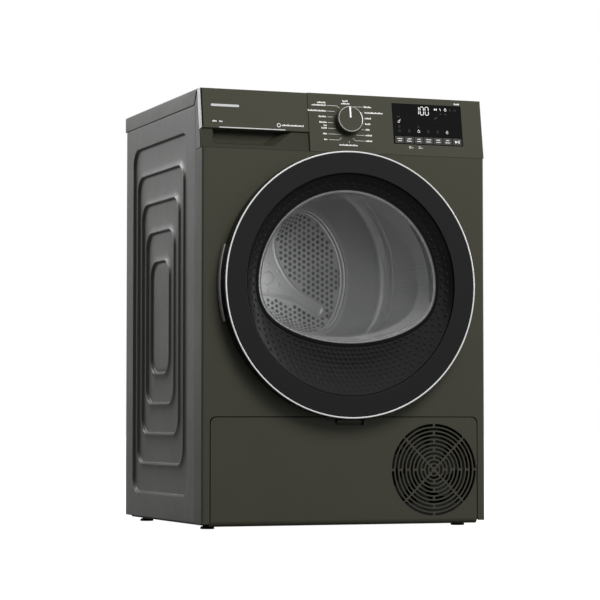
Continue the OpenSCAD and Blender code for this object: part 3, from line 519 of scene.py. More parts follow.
def side_panel(side, sign):
    """Sheet with five nested rectangles. Each border steps in, and the ground inside it climbs back out
    to the next border, slowly at first and faster near it."""
    low, high = box_mm(side + "_side_panel")
    outer = high.x if sign > 0 else -low.x
    centre, half = middle(low, high, "yz"), half_size(low, high, "yz")

    def ring(outline, depth):
        return placed(outline, sign * (outer - depth), sideways)

    def border(i, grow):
        half_u, half_v = [EMBOSS_HALF[k] - i * EMBOSS_STEP[k] + grow for k in (0, 1)]
        return rounded_rectangle(EMBOSS_CENTRE, half_u, half_v, EMBOSS_CORNER + grow * 0.8)

    rings = [ring(rounded_rectangle(centre, half[0] - inset, half[1] - inset, 2.5), depth)
             for inset, depth in PANEL_EDGE]
    for i in range(EMBOSS_COUNT):
        if i:
            ground = list(zip(border(i - 1, BORDER[-1][0]), border(i, 2.6)))
            rings += [ring([Vector(a).lerp(Vector(b), share) for a, b in ground], depth)
                      for share, depth in CLIMB]
        rings += [ring(border(i, grow), depth) for grow, depth in BORDER]
    rings.append(ring(border(EMBOSS_COUNT - 1, -13), 4.4))
    piece(side + "_panel_shell", "cabinet", "side_paint", loft(rings, caps=1),
          stands_for=side + "_side_panel", thickness=1.0, sharp=50)


def worktop():
    """Board with a slanted front, rounded edges and a shallow line round its top."""
    rise = TOP_HIGH.z - TOP_LOW.z
    lean = 16.9

    def ring(up, inset):
        front = TOP_LOW.y + lean * (1 - up / rise)
        outline = between(-HALF_W + inset, front + inset, HALF_W - inset, TOP_HIGH.y - inset,
                          5 - min(inset, 3), 5)
        return placed(outline, TOP_LOW.z + up, upright)

    levels = ((0, 2.5), (0.8, 0.5), (2.4, 0), (rise - 3, 0), (rise - 1.2, 0.6), (rise - 0.3, 1.8),
              (rise, 3.4), (rise, 13), (rise - 0.5, 13.6), (rise - 0.5, 14.8), (rise, 15.4))
    piece("worktop_board", "cabinet", "worktop_shell", loft([ring(*level) for level in levels]),
          stands_for="worktop", sharp=50)


KICK_HIGH = box_mm("kick_panel")[1]
KICK_CORNER = 12
NOTCH = 43.2
HINGE = Vector(frame["joints"][0]["pos_m"]) / MM  # the first joint is the door's
HINGE_SPOTS = (DOOR_Z - 16, DOOR_Z + 16)
HOOK_X = -238


def front_panel():
    """Painted sheet with rolled door opening, wrapped round both front corners."""
    bend = 5
    flat = HALF_W - bend
    opening = 220.8
    roll = 3.2
    kick = KICK_HIGH.x + 1.3
    kick_z = KICK_HIGH.z + 1.2
    notch_z = kick_z - 4.8
    outline = [(-flat, SKIRT_Z), (-kick, SKIRT_Z)]
    outline += arc((-kick + KICK_CORNER, kick_z - KICK_CORNER), KICK_CORNER, 180, 90, 6)
    outline += [(-NOTCH, kick_z), (-NOTCH, notch_z), (NOTCH, notch_z), (NOTCH, kick_z)]
    outline += arc((kick - KICK_CORNER, kick_z - KICK_CORNER), KICK_CORNER, 90, 0, 6)
    outline += [(kick, SKIRT_Z), (flat, SKIRT_Z), (flat, PANEL_TOP), (-flat, PANEL_TOP)]
    holes = [circle(DOOR_AXIS, opening + roll),
             between(HOOK_X - 8, DOOR_Z - 15, HOOK_X + 8, DOOR_Z + 15, 2)]
    holes += [between(HINGE.x - 3, z - 7, HINGE.x + 3, z + 7, 1) for z in HINGE_SPOTS]
    lip = arc((opening + roll, FRONT_Y + roll), roll, 270, 180, 5) + [(opening, FRONT_Y + 12)]
    sides = []
    for sign in (-1, 1):
        plan = arc((flat, FRONT_Y + bend), bend, 270, 360, 6) + [(HALF_W, WRAP_Y)]
        rows = [[(sign * x, y, z) for x, y in plan] for z in (SKIRT_Z, PANEL_TOP)]
        sides.append(loft(rows, caps=0, around=False))
    skin = joined(sheet(outline, holes, FRONT_Y), turned(lip, DOOR_AXIS, around=False), *sides)
    piece("front_sheet", "cabinet", "front_paint", skin, stands_for="front_panel", thickness=1.0, sharp=50)


# ---------- fascia, display, keys and knob ----------

tank_front_low, tank_front_high = box_mm("tank_front")
DRAWER_RIGHT = tank_front_high.x
FASCIA_LEFT = DRAWER_RIGHT + 0.7
DISPLAY_CENTRE = (178.6, 65)
DISPLAY_HALF = (74.9, 41.5)
GLASS_FACE = 0.3
KNOB_CENTRE = (8.1, 65.5)
KNOB_R = 27.5
KEY_PITCH = 20.75
KEY_HALF = (9.75, 7.1)
KEY_ROW = 31.8
KEY_COUNT = 7
PRINT = 0.12


def control_fascia():
    """Moulded shell with openings for the display and the knob's shaft. Beside it, the rail under the
    drawer and the cheek at its left."""
    top_back = TOP_LOW.y - 0.4
    low_back = top_back + 17
    profile = [slope(0.3, 0), slope(FASCIA_LENGTH, 0), (top_back, TOP_HIGH.z), (low_back, TOP_LOW.z),
               (WRAP_Y, TOP_LOW.z - 0.5), (WRAP_Y, SEAM_Z + 0.3)]
    inside = [(FRONT_Y + 9, SEAM_Z + 4), (FRONT_Y + 24, TOP_HIGH.z - 5), (top_back - 4, TOP_HIGH.z - 5),
              (top_back - 4, SEAM_Z + 4)]
    gap = 0.35
    window = rounded_rectangle(DISPLAY_CENTRE, DISPLAY_HALF[0] + gap, DISPLAY_HALF[1] + gap, 1.2)
    cutters = [slab(inside, FASCIA_LEFT + 3, HALF_W - 3, sideways), slab(window, -2, 6, on_fascia),
               slab(circle(KNOB_CENTRE, 4.4, 24), -2, 6, on_fascia)]
    piece("fascia_moulding", "cabinet", "front_plastic", slab(profile, FASCIA_LEFT, HALF_W, sideways),
          stands_for="control_fascia", cutters=cutters, bevel=1.6, segments=3)
    rail = block((-HALF_W + 4, FRONT_Y + 29, SEAM_Z + 0.3), (FASCIA_LEFT, WRAP_Y - 2, SEAM_Z + 8))
    cheek = [slope(2.6, 12.6), slope(38, 12.6), slope(38.4, 16.2), slope(FASCIA_LENGTH - 7, 16.2),
             (low_back - 0.6, TOP_LOW.z - 0.3), (WRAP_Y - 0.4, TOP_LOW.z - 0.3), (WRAP_Y - 0.4, SEAM_Z + 0.3)]
    piece("drawer_surround", "cabinet", "side_paint",
          joined(rail, slab(cheek, -HALF_W, -HALF_W + 2.5, sideways)), bevel=0.5)


def stroke(a, b, width, out=PRINT, deep=0.0):
    """Thin raised bar between two points of the fascia's plane."""
    start, end = Vector(a), Vector(b)
    along = (end - start).normalized()
    across = Vector((-along.y, along.x)) * (width / 2)
    corners = [start - across, end - across, end + across, start + across]
    return slab([tuple(c) for c in corners], -out, deep, on_fascia)


def dash(u, v, length, height, out=PRINT, deep=0.0):
    """Level bar given by its middle."""
    return stroke((u - length / 2, v), (u + length / 2, v), height, out, deep)


LETTER_HEIGHTS = (3.4, 2.3, 2.3, 3.0, 2.3, 3.4, 2.3)
LETTER_PITCH = 2.3
LETTER_WIDTH = 1.6


def word(u, v, length, out=PRINT, size=1.0):
    """Row of small blocks that stands in for a printed word and says nothing. u is its middle."""
    count = max(2, round(length / (LETTER_PITCH * size)))
    blocks = []
    for i in range(count):
        at = u + (i - (count - 1) / 2) * LETTER_PITCH * size
        tall = LETTER_HEIGHTS[(i * 3 + count) % len(LETTER_HEIGHTS)] * size
        blocks.append(dash(at, v - 1.2 * size + tall / 2, LETTER_WIDTH * size, tall, out))
    return blocks


# Each side of the knob: where its labels start, where its end lines bend, and the labels' lengths.
LABELS = {-1: (43, 22, (30, 38, 17, 15, 12, 10, 8)), 1: (33, 14, (15, 40, 14, 12, 10, 13, 13))}
LABEL_PITCH = 11.6
LABEL_ROWS = 7
LABEL_GAP = 2.5
LABEL_LINE = 0.55
TICK_R = 32.5


def fascia_marks():
    """Plain ticks and bars round the knob where a printed programme ring would be."""
    knob_u, knob_v = KNOB_CENTRE
    bars = []
    for row in range(LABEL_ROWS):
        rise = (3 - row) * LABEL_PITCH - 5.2
        v = knob_v + rise
        for side, (start, bend, lengths) in LABELS.items():
            label = lengths[row]
            near = knob_u + side * start
            if row in (0, LABEL_ROWS - 1):
                far = knob_u + side * bend
                bars.append(stroke((far, v), (far - side * 6, v - math.copysign(4.5, rise)), LABEL_LINE))
            else:
                far = knob_u + side * math.sqrt(TICK_R ** 2 - rise ** 2)
            bars.append(stroke((near, v), (far, v), LABEL_LINE))
            bars += word(near + side * (LABEL_GAP + label / 2), v, label)
            if side < 0 and row in (0, 4):
                bars += word(near + side * (LABEL_GAP + label * 0.3), v + 5.4, label * 0.6)
    for u, v, length in ((-4, 105.5, 12), (-4, 100.2, 19), (-2, 15.5, 40)):
        bars += word(knob_u + u, v, length)
    for low, high in ((93.6, 96.2), (20.2, 24.4)):
        bars.append(stroke((knob_u, low), (knob_u, high), 0.6))
    bars += word(245, 110.3, 11)
    for u in (138, 158.5):
        bars += [washer((u, 17), 2.4, 1.7, -PRINT, 0, on_fascia), dash(u + 5.2, 16, 3, 0.9)]
    piece("fascia_marks", "cabinet", "front_plastic", joined(*bars), "white_print")


SEGMENTS = {"1": "bc", "0": "abcdef"}
SEGMENT_ENDS = {"a": ((0, 1), (1, 1)), "b": ((1, 1), (1, 0.5)), "c": ((1, 0.5), (1, 0)),
                "d": ((0, 0), (1, 0)), "e": ((0, 0.5), (0, 0)), "f": ((0, 1), (0, 0.5))}
SEGMENT_W = 1.05
SEGMENT_GAP = 0.9
LIT_OUT = GLASS_FACE + 0.08


def lit_bar(a, b, width):
    """Symbol stroke let into the display glass."""
    return stroke(a, b, width, LIT_OUT, -GLASS_FACE)


def lit_dash(u, v, length, height):
    """Level or upright symbol bar."""
    return dash(u, v, length, height, LIT_OUT, -GLASS_FACE)


def lit_ring(u, v, r):
    """Round symbol."""
    return washer((u, v), r, r - 0.55, -LIT_OUT, -GLASS_FACE, on_fascia)


def digit(symbol, u, v, width, height):
    """Seven-segment figure, given by its lower left corner."""
    bars = []
    for name in SEGMENTS[symbol]:
        a, b = [Vector((u + x * width, v + y * height)) for x, y in SEGMENT_ENDS[name]]
        inset = (b - a).normalized() * SEGMENT_GAP
        bars.append(lit_bar(a + inset, b - inset, SEGMENT_W))
    return bars


def key_u(i):
    """Middle of a key along the fascia."""
    return DISPLAY_CENTRE[0] + (i - (KEY_COUNT - 1) / 2) * KEY_PITCH


def stacked(centre, half, levels, radius, place=facing):
    """Solid of rounded rectangles, one for each (w, inset)."""
    return loft([placed(rounded_rectangle(centre, half[0] - inset, half[1] - inset, radius), w, place)
                 for w, inset in levels])


def display():
    """Black glass with lit figures and plain symbols."""
    glass = stacked(DISPLAY_CENTRE, DISPLAY_HALF,
                    ((2.4, 0.4), (0.4, 0), (-GLASS_FACE + 0.25, 0.05), (-GLASS_FACE, 0.5)), 1, on_fascia)
    well = [side + 0.25 for side in KEY_HALF]
    wells = [slab(rounded_rectangle((key_u(i), KEY_ROW), *well, 0.8), -2, 5, on_fascia)
             for i in range(KEY_COUNT)]
    piece("display_glass", "cabinet", "door_gloss", glass, "display_black", "display_window", wells)

    bright, faint = [], []
    for i, symbol in enumerate("100"):
        bright += digit(symbol, 154 + 10.6 * i, 85, 7.2, 16.5)
    row = 97.5
    triangle = circle((196.5, row), 2.6, 3)
    bright += [slab(triangle, -LIT_OUT, -GLASS_FACE, on_fascia), lit_dash(200.2, row, 1.2, 4.4),
               lit_bar((207, row + 2.2), (209.6, row - 2.2), 0.9), lit_ring(219.4, row - 0.3, 2.4),
               lit_dash(219.4, row + 2.6, 3, 1)]
    faint += [lit_ring(229.5, row, 1.9), lit_ring(239.8, row, 2.1)]
    faint += [lit_dash(u, 88.6, 4, 1) for u in (208.5, 219)]
    faint += [lit_bar((194, 77.5), (201, 81.5), 1.2)]
    column = 116.8
    bright += [lit_ring(column, 69, 2.3), lit_bar((column + 1.6, 71), (column + 3.4, 73.6), 0.7)]
    faint += [lit_dash(column, 79.2, 5, 1.2), lit_ring(column, 59.2, 2.0), lit_ring(column, 50, 2.4)]
    for u, group in ((138.3, faint), (158.8, bright), (179.3, faint), (199.8, faint), (220.3, bright)):
        group += [lit_ring(u, 50.3, 2.5), lit_bar((u, 54.4), (u, 52.6), 0.7)]
    faint += [lit_ring(158.6, 60, 1.9)]
    piece("display_symbols", "cabinet", "door_gloss", [joined(*bright), joined(*faint)],
          ["lit_symbol", "dim_symbol"])


def keys():
    """Flat keys with a soft edge, each with two rows of plain blocks, the last with start and pause."""
    out, deep = 0.68, -0.5
    v = KEY_ROW
    for i in range(KEY_COUNT):
        u = key_u(i)
        cap = stacked((u, v), KEY_HALF, ((4.6, 0.1), (-0.1, 0), (-0.45, 0.25), (-0.6, 0.8)), 1.1, on_fascia)
        if i < KEY_COUNT - 1:
            marks = word(u, v + 2.2, 11 - i % 3 * 2, out, 0.62) + word(u, v - 2.4, 8 + i % 2 * 2, out, 0.62)
        else:
            marks = [slab([(u - 4.2, v + 3), (u - 4.2, v - 3), (u + 0.6, v)], -out, deep, on_fascia)]
            marks += [dash(u + along, v, 1.2, 5.6, out, deep) for along in (2.2, 4.6)]
        key = f"key_{i + 1}"
        piece(key + "_cap", key, "front_plastic", [cap, joined(*marks)], ["key_face", "white_print"], key)


def knob():
    """Programme knob: soft-edged drum, a bright ring let into its face with a white arc on its right as a
    painted highlight, and a white pointer.
    """
    face = -15
    r = KNOB_R
    cap = [(0.05, face + 1.2), (r - 3.4, face + 0.9), (r - 3.2, face + 0.3), (r - 1.6, face + 0.1),
           (r - 0.3, face + 1.6), (r, -0.6), (r - 2, -0.5), (r - 2.6, face + 4), (0.05, face + 4)]
    body = turned(cap, KNOB_CENTRE, on_fascia, 96, soft=(0.8, 3))
    shaft = turned([(0.05, -2), (4, -2), (4, 13.8), (0.05, 13.8)], KNOB_CENTRE, on_fascia, 24)
    groove = [(r - 3.2, face + 1), (r - 3.1, face + 0.05), (r - 2, face), (r - 1.7, face + 1)]
    ring = turned(groove, KNOB_CENTRE, on_fascia, 96, soft=(0.3, 2))
    # painted highlight: white arc over the right of the silver ring
    band = [(r - 3.4, face + 1), (r - 3.3, face), (r - 1.7, face), (r - 1.5, face + 1)]
    bright = turned(band, KNOB_CENTRE, on_fascia, 24, -20, 55, soft=(0.3, 2))
    u, v = KNOB_CENTRE
    pointer = slab(between(u - 1.7, v + 2.5, u + 1.7, v + r - 2.6, 0.5, 3), face, face + 1.6, on_fascia)
    piece("knob_cap", "knob", "front_plastic", [joined(body, shaft), ring, joined(pointer, bright)],
          ["front_plastic", "ring_silver", "white_print"], "program_knob", sharp=30)


# ---------- water tank drawer ----------

BEZEL_LEFT = tank_front_low.x + 1.2
BEZEL_LOW = 39
BEZEL_TOP = FASCIA_LENGTH - 0.4
BAND_LOW = 1.2
BAND_DEPTH = 4
SCOOP_DEPTH = 21


def scoop_outline(left, floor, right_low, right_high, ceiling):
    """Finger scoop: a round lower left corner and a slanted right end."""
    corner = 7
    return arc((left + corner, floor + corner), corner, 180, 270, 5) + [
        (right_low, floor), (right_high, ceiling), (left, ceiling)]


def drawer_front():
    """Drawer front: its bezel, and the lower band with the finger scoop."""
    bezel = [placed(between(BEZEL_LEFT + inset, BEZEL_LOW + inset, DRAWER_RIGHT - inset, BEZEL_TOP - inset,
                            1.4), w, on_fascia)
             for w, inset in ((12, 0.3), (1.2, 0), (0.35, 0.35), (0, 1.2))]
    piece("drawer_bezel", "tank_drawer", "front_plastic", loft(bezel), stands_for="tank_front", sharp=30)
    mouth = scoop_outline(-273, 10, -149, -112, 38)
    deep = scoop_outline(-269, 14, -167, -138, 37)
    outer = between(BEZEL_LEFT, BAND_LOW, DRAWER_RIGHT, BEZEL_LOW, 0.6)
    end_wall = between(BEZEL_LEFT, BAND_LOW, BEZEL_LEFT + 2, BEZEL_LOW, 0.5)
    low_wall = between(BEZEL_LEFT, BAND_LOW, DRAWER_RIGHT, 3.2, 0.5)
    band = [plate(outer, [mouth], BAND_DEPTH, BAND_DEPTH + 2.5, on_fascia)]
    band += [slab(wall, BAND_DEPTH + 0.5, 12.3, on_fascia) for wall in (end_wall, low_wall)]
    band.append(slab(between(-262, 24.6, -172, 25.8, 0.5), SCOOP_DEPTH - 0.4, SCOOP_DEPTH + 1.2, on_fascia))
    piece("drawer_band", "tank_drawer", "front_plastic", joined(*band), "recess_plastic", bevel=0.4)
    scoop = [placed(mouth, BAND_DEPTH, on_fascia), placed(mouth, BAND_DEPTH + 1.5, on_fascia),
             placed(deep, SCOOP_DEPTH, on_fascia)]
    piece("drawer_scoop", "tank_drawer", "front_plastic", loft(scoop, caps=1), "recess_plastic",
          thickness=1.0, outward=True, sharp=30)


def drawer_trims():
    """Bright strips on the drawer front, its dark edge line, a blank plate and plain marks."""
    left = box_mm("tank_trims")[0].x
    side = soften([(0.4, BEZEL_LOW), (0.4, BEZEL_TOP), (15.4, BEZEL_TOP), (15.4, BEZEL_LOW)], 0.8, 3)
    side_strip = slab(side, left, left + 1.1, lambda u, v, w: on_fascia(w, v, u))
    under = slab(between(-261, BEZEL_LOW + 0.6, -125, BEZEL_LOW + 2.8, 0.9), -0.6, 0.6, on_fascia)
    piece("drawer_bright_strips", "tank_drawer", "chrome_trim", [under, side_strip],
          ["chrome_trim", "white_satin"], "tank_trims", bevel=0.3)
    edge = between(BEZEL_LEFT + 0.4, BEZEL_LOW + 2, BEZEL_LEFT + 3.2, BEZEL_TOP - 2, 0.4)
    piece("drawer_edge_line", "tank_drawer", "door_gloss", slab(edge, -PRINT, 0.1, on_fascia),
          "display_black")
    name_plate = slab(between(-276, 82.6, -218, 87.4, 2.2, 5), -0.35, 0.2, on_fascia)
    small = word(-270, 52.5, 9) + word(-257, 52.5, 8) + word(-109, 50, 46)
    small.append(washer((-138, 50), 4, 2.8, -PRINT, 0, on_fascia, 24))
    piece("drawer_marks", "tank_drawer", "front_plastic", [name_plate, joined(*small)],
          ["chrome_trim", "white_print"])


def water_tank():
    """Clear tank with a sloping floor, softened edges, ribs and a filling cap."""
    low, high = box_mm("water_tank")
    shelf = 797

    def ring(y, inset):
        left, right, floor = low.x + inset, high.x - inset, low.z + inset
        corners = [(left, floor), (-200, floor), (right, shelf + inset), (right, high.z - inset),
                   (left, high.z - inset)]
        return placed(soften(corners, 7), y)

    stations = [(low.y, 4), (low.y + 1, 1.5), (low.y + 4, 0)]
    for k in range(6):
        rib = low.y + 50 + k * 60
        stations += [(rib, 0), (rib + 3, 1.5), (rib + 9, 1.5), (rib + 12, 0)]
    stations += [(high.y - 4, 0), (high.y - 1, 1.5), (high.y, 4)]
    piece("tank_bottle", "tank_drawer", "tank_plastic", loft([ring(*station) for station in stations]),
          stands_for="water_tank", thickness=1.6)
    top, under = high.z - 0.8, high.z - 4
    cap = turned([(0.05, under), (17, under), (17, top), (0.05, top)], (-185, high.y - 65), upright, 48,
                 soft=(1,))
    piece("tank_cap", "tank_drawer", "dark_moulding", cap)


# ---------- door ----------

SEAM_R = 217
SEAM_GAP = 1.1
WINDOW_R = 186
WINDOW_LOW_R = 330
WINDOW_DROP = 114
WINDOW_BLEND = 16
COVER_Y0 = DOOR_FRONT + 2.6
COVER_Y1 = GLASS_LOW.y + 0.6
COVER_WALL = 2.4


def window_radius(angle, grow=0.0):
    """Distance from the door's centre to the window's edge: a circle cut by a flatter lower arc."""
    lift = WINDOW_LOW_R - WINDOW_DROP
    round_r = WINDOW_R + grow
    low_r = WINDOW_LOW_R + grow
    flat_r = lift * math.sin(angle) + math.sqrt(low_r ** 2 - (lift * math.cos(angle)) ** 2)
    return -WINDOW_BLEND * math.log(math.exp(-round_r / WINDOW_BLEND) + math.exp(-flat_r / WINDOW_BLEND))


def window_ring(grow, y):
    """The window's outline, grown and set at a depth."""
    count = 240
    ring = []
    for a in [math.tau * i / count for i in range(count)]:
        r = window_radius(a, grow)
        ring.append((r * math.cos(a), y, DOOR_Z + r * math.sin(a)))
    return ring


def bump_centres():
    """Staggered rows of dimples that follow the window's edge outwards."""
    per_row, rows, pitch, first, margin = 78, 12, 8.8, 11.5, 4.5
    step = 0.001
    spots = []
    for row in range(rows):
        for k in range(per_row):
            a = math.tau * (k + 0.5 * (row % 2)) / per_row
            r = window_radius(a)
            change = (window_radius(a + step) - window_radius(a - step)) / (2 * step)
            along, across = heading(a)
            outward = (along * r - across * change).normalized()
            spot = along * r + outward * (first + row * pitch)
            if spot.length < SEAM_R - margin:
                spots.append(spot)
    return spots


def dimpled_cover():
    """Dimpled cover that sinks from the glossy ring to the window, and the window's seal."""
    around, rows = 900, 84
    bump_r, bump_h = 3.0, 2.0
    fall, ease = 62, 1.7
    spots = bump_centres()
    tree = KDTree(len(spots))
    for i, spot in enumerate(spots):
        tree.insert((spot.x, spot.y, 0), i)
    tree.balance()

    def surface(a, share):
        """Point of the cover at an angle, a share of the way from the seam to the window."""
        inner = window_radius(a)
        edge = SEAM_R - SEAM_GAP
        r = edge + (inner - edge) * share
        sink = min(1, (SEAM_R - r) / min(SEAM_R - inner, fall))
        y = COVER_Y0 + (COVER_Y1 - COVER_Y0) * (1 - (1 - sink) ** ease)
        u, v = r * math.cos(a), r * math.sin(a)
        gap = tree.find((u, v, 0))[2]
        if gap < bump_r:
            y -= bump_h * math.cos(gap / bump_r * math.pi / 2) ** 1.5
        return (u, y, DOOR_Z + v)

    rings = [[surface(math.tau * i / around, k / rows) for i in range(around)] for k in range(rows + 1)]
    rings += [[(x, min(y, COVER_Y1) + COVER_WALL, z) for x, y, z in rings[k]] for k in (rows, rows // 2, 0)]
    piece("door_dimpled_cover", "door", "door_cover", loft(rings, closed=True),
          stands_for="door_inner_cone", sharp=70)
    seal = ((-0.5, 0.5), (-0.5, -1.2), (1.0, -2.0), (5.5, -2.0), (7.0, -1.4), (7.2, 0.5))
    piece("door_window_seal", "door", "rubber",
          loft([window_ring(grow, COVER_Y1 + y) for grow, y in seal], closed=True), "seal_black", sharp=60)


def door_rings():
    """Glossy ring with notches for the hinge, and the bright trim round it."""
    face = DOOR_FRONT + 0.8
    back = FRONT_Y - 1.2
    inner = SEAM_R + 0.3
    outer = DOOR_R - 0.4
    gloss = [(inner, face + 3), (inner, face + 0.9), (SEAM_R + 1.5, face), (DOOR_R - 3.2, face),
             (DOOR_R - 3.2, face + 2.6), (outer, face + 2.6), (outer, back - 2.2), (outer - 3.2, back),
             (outer - 4, back), (outer - 4, face + 6), (outer - 6, face + 3)]
    notches = [block((HINGE.x - 5, DOOR_FRONT + 3.4, z - 5.5), (DOOR_R + 2, FRONT_Y, z + 5.5))
               for z in HINGE_SPOTS]
    piece("door_gloss_ring", "door", "door_gloss", turned(gloss, DOOR_AXIS, steps=256, soft=(0.6, 2)),
          stands_for="door_outer_ring", cutters=notches, sharp=30)
    trim = [(DOOR_R - 3, DOOR_FRONT), (DOOR_R, DOOR_FRONT), (DOOR_R, DOOR_FRONT + 3),
            (DOOR_R - 3, DOOR_FRONT + 3)]
    piece("door_bright_ring", "door", "chrome_trim", turned(trim, DOOR_AXIS, steps=256, soft=(1.1, 4)),
          "door_bright", "door_trim_ring", sharp=40)


def door_glass():
    """Glass bowl that casts no shadow on the drum behind it."""
    depth = GLASS_HIGH.y - GLASS_LOW.y
    levels = ((3, 0.0), (3, 1.2), (-2.6, 1.6), (-3, 6), (-4, 18), (-7, 40), (-12, 60), (-20, 78),
              (-32, 92), (-52, 101), (-80, depth - 3), (-112, depth - 1))
    bowl = loft([window_ring(grow, GLASS_LOW.y + y) for grow, y in levels], caps=1)
    glass = piece("door_glass_bowl", "door", "bowl_glass", bowl, stands_for="door_glass", thickness=3.5,
                  sharp=50)
    glass.visible_shadow = False


def door_grip():
    """Grey lip along the door's left edge."""
    low, high = box_mm("door_handle_lip")
    reach = -low.x
    spread = 16.2
    web = high.y - 2.2
    lip = [(reach - 2.4, low.y), (reach, low.y + 0.8), (reach, high.y), (DOOR_R + 0.2, high.y),
           (DOOR_R + 0.2, web), (reach - 2.4, web)]
    piece("door_grip", "door", "grey_lip",
          turned(lip, DOOR_AXIS, steps=48, start=180 - spread, sweep=2 * spread, soft=(0.7, 3)),
          stands_for="door_handle_lip", sharp=40)


# ---------- drum ----------

WALL = 1.0
BACK_CORNER = 26
BACK_RIM = 191.6
PERFORATED_R = 166
PLATE_Y = drum_high.y - WALL - 1.4
HOLE_PITCH = 12.3
HOLE_R = 4.15
STAR_ARMS = (90, 210, 330)
STAR_HALF = 14.5
STAR_REACH = 147
STAR_HUB = 52
# (growth, depth) of the star's rings
STAR_STEPS = ((0.6, 0.5), (0.2, -2.6), (-0.8, -3.4), (-2.5, -3.6), (-6.0, -2.2), (-8.0, -2.0))


def drum_cylinder():
    """Shell with a lip in front, a bead near the back and a rounded back corner."""
    y0, y1 = drum_low.y, drum_high.y
    inside = DRUM_R - WALL
    bead = y1 - BACK_CORNER - 10
    skin = [(DRUM_R - 5, y0 + 1.5), (DRUM_R - 3.5, y0), (DRUM_R - 1, y0 + 0.6), (DRUM_R, y0 + 3)]
    skin += arc((DRUM_R - BACK_CORNER, y1 - BACK_CORNER), BACK_CORNER, 0, 90, 10)
    skin += [(BACK_RIM - 8, y1), (BACK_RIM - 8, y1 - WALL), (BACK_RIM + 1, y1 - WALL),
             (BACK_RIM + 3, y1 - WALL - 1.2)]
    skin += arc((DRUM_R - BACK_CORNER, y1 - BACK_CORNER - 1.2), BACK_CORNER - WALL, 90, 0, 10)
    skin += [(inside, bead + 5), (inside - 2.6, bead + 2), (inside - 3.2, bead), (inside - 2.6, bead - 2),
             (inside, bead - 5), (inside, y0 + 26), (inside - 2.2, y0 + 20), (inside - 2.2, y0 + 8)]
    piece("drum_cylinder", "drum", "drum_steel", turned(skin, DRUM_AXIS, steps=224), "drum_wall",
          "drum_shell", sharp=40)


def star_outline(grow):
    """Hub with three arms, rounded where they meet."""
    half = STAR_HALF + grow
    hub = STAR_HUB + grow
    reach = STAR_REACH + grow
    corners = []
    for arm in STAR_ARMS:
        along, across = heading(math.radians(arm))
        corners += [along * reach - across * half, along * reach + across * half,
                    along * (hub + 18) + across * half]
        corners += [heading(math.radians(arm + 60 + turn))[0] * (hub - 8) for turn in (-26, 26)]
        along, across = heading(math.radians(arm + 120))
        corners.append(along * (hub + 18) - across * half)
    return [(u, DRUM_Z + v) for u, v in soften([tuple(c) for c in corners], 12, 5)]


def inside_outline(u, v, outline):
    """True if the point lies in the outline, by counting crossings."""
    crossings = 0
    for (u0, v0), (u1, v1) in zip(outline, outline[1:] + outline[:1]):
        if (v0 > v) != (v1 > v) and u < (u1 - u0) * (v - v0) / (v1 - v0) + u0:
            crossings += 1
    return crossings % 2 == 1


def drum_holes():
    """Hexagonal field of round holes, clear of the rim and the star."""
    clear = star_outline(HOLE_R + 2.5)
    column = HOLE_PITCH * math.sqrt(3) / 2
    across = int(PERFORATED_R / column) + 1
    up = int(PERFORATED_R / HOLE_PITCH) + 1
    holes = []
    for i in range(-across, across + 1):
        for j in range(-up, up + 1):
            u = i * column
            v = (j + 0.5 * (i % 2)) * HOLE_PITCH
            if math.hypot(u, v) < PERFORATED_R - HOLE_R and not inside_outline(u, DRUM_Z + v, clear):
                holes.append(circle((u, DRUM_Z + v), HOLE_R, 12))
    return holes


def drum_back():
    """Perforated plate with two beads round it, the raised star, its boss and six screws."""
    y = PLATE_Y
    screw_circle = 29
    beads = [(PERFORATED_R, y)]
    for r in (172, 180):
        beads += [(r - 2.5, y), (r - 1.2, y - 1.4), (r, y - 1.9), (r + 1.2, y - 1.4), (r + 2.5, y)]
    beads += [(BACK_RIM - 4, y), (BACK_RIM - 1, y + 0.8), (BACK_RIM - 1, y + 1.3), (PERFORATED_R, y + 1.2)]
    star = [placed(star_outline(grow), y + depth) for grow, depth in STAR_STEPS]
    boss = [(0.05, y - 3.4), (13, y - 3.2), (15.5, y - 2), (15.5, y), (0.05, y)]
    parts = [plate(circle(DRUM_AXIS, PERFORATED_R, 160), drum_holes(), y, y + 1.2),
             turned(beads, DRUM_AXIS, steps=160), loft(star),
             turned(boss, DRUM_AXIS, steps=64, soft=(1.2, 3))]
    screw = [(0.05, y - 3.6), (3.6, y - 3.4), (4.4, y - 2), (0.05, y - 2)]
    for at in arc(DRUM_AXIS, screw_circle, 30, 330, 5):
        parts.append(turned(screw, at, steps=24, soft=(0.6, 2)))
    piece("drum_perforated_back", "drum", "drum_steel", joined(*parts), stands_for="drum_back_plate",
          sharp=35)


def drum_lifters():
    """Three tapered ribs along the drum, lower at both ends."""
    y0, y1 = drum_low.y, drum_high.y
    stations = ((y0 + 17, 12, 34), (y0 + 22, 40, 38), (y0 + 34, 54, 40), (y0 + 70, 57, 41),
                (y1 - 80, 57, 41), (y1 - 36, 52, 40), (y1 - 26, 30, 36), (y1 - 22, 8, 32))
    lifters = []
    for arm in (60, 180, 300):
        along, across = heading(math.radians(arm))
        rings = []
        for y, height, width in stations:
            top = DRUM_R - 2.5 - height
            foot = math.sqrt((DRUM_R - 2.2) ** 2 - width ** 2)
            flank = [(foot, width), (top + height * 0.35, width * 0.62), (top + 3, 11), (top, 4)]
            corners = [(r, -s) for r, s in flank] + flank[::-1]
            spots = [along * r + across * s for r, s in corners]
            rings.append([(spot.x, y, DRUM_Z + spot.y) for spot in spots])
        lifters.append(loft(rings))
    piece("drum_lifter_set", "drum", "dark_moulding", joined(*lifters), stands_for="drum_lifters",
          bevel=1.5, sharp=40)


# ---------- service panel, grille and what is behind it ----------

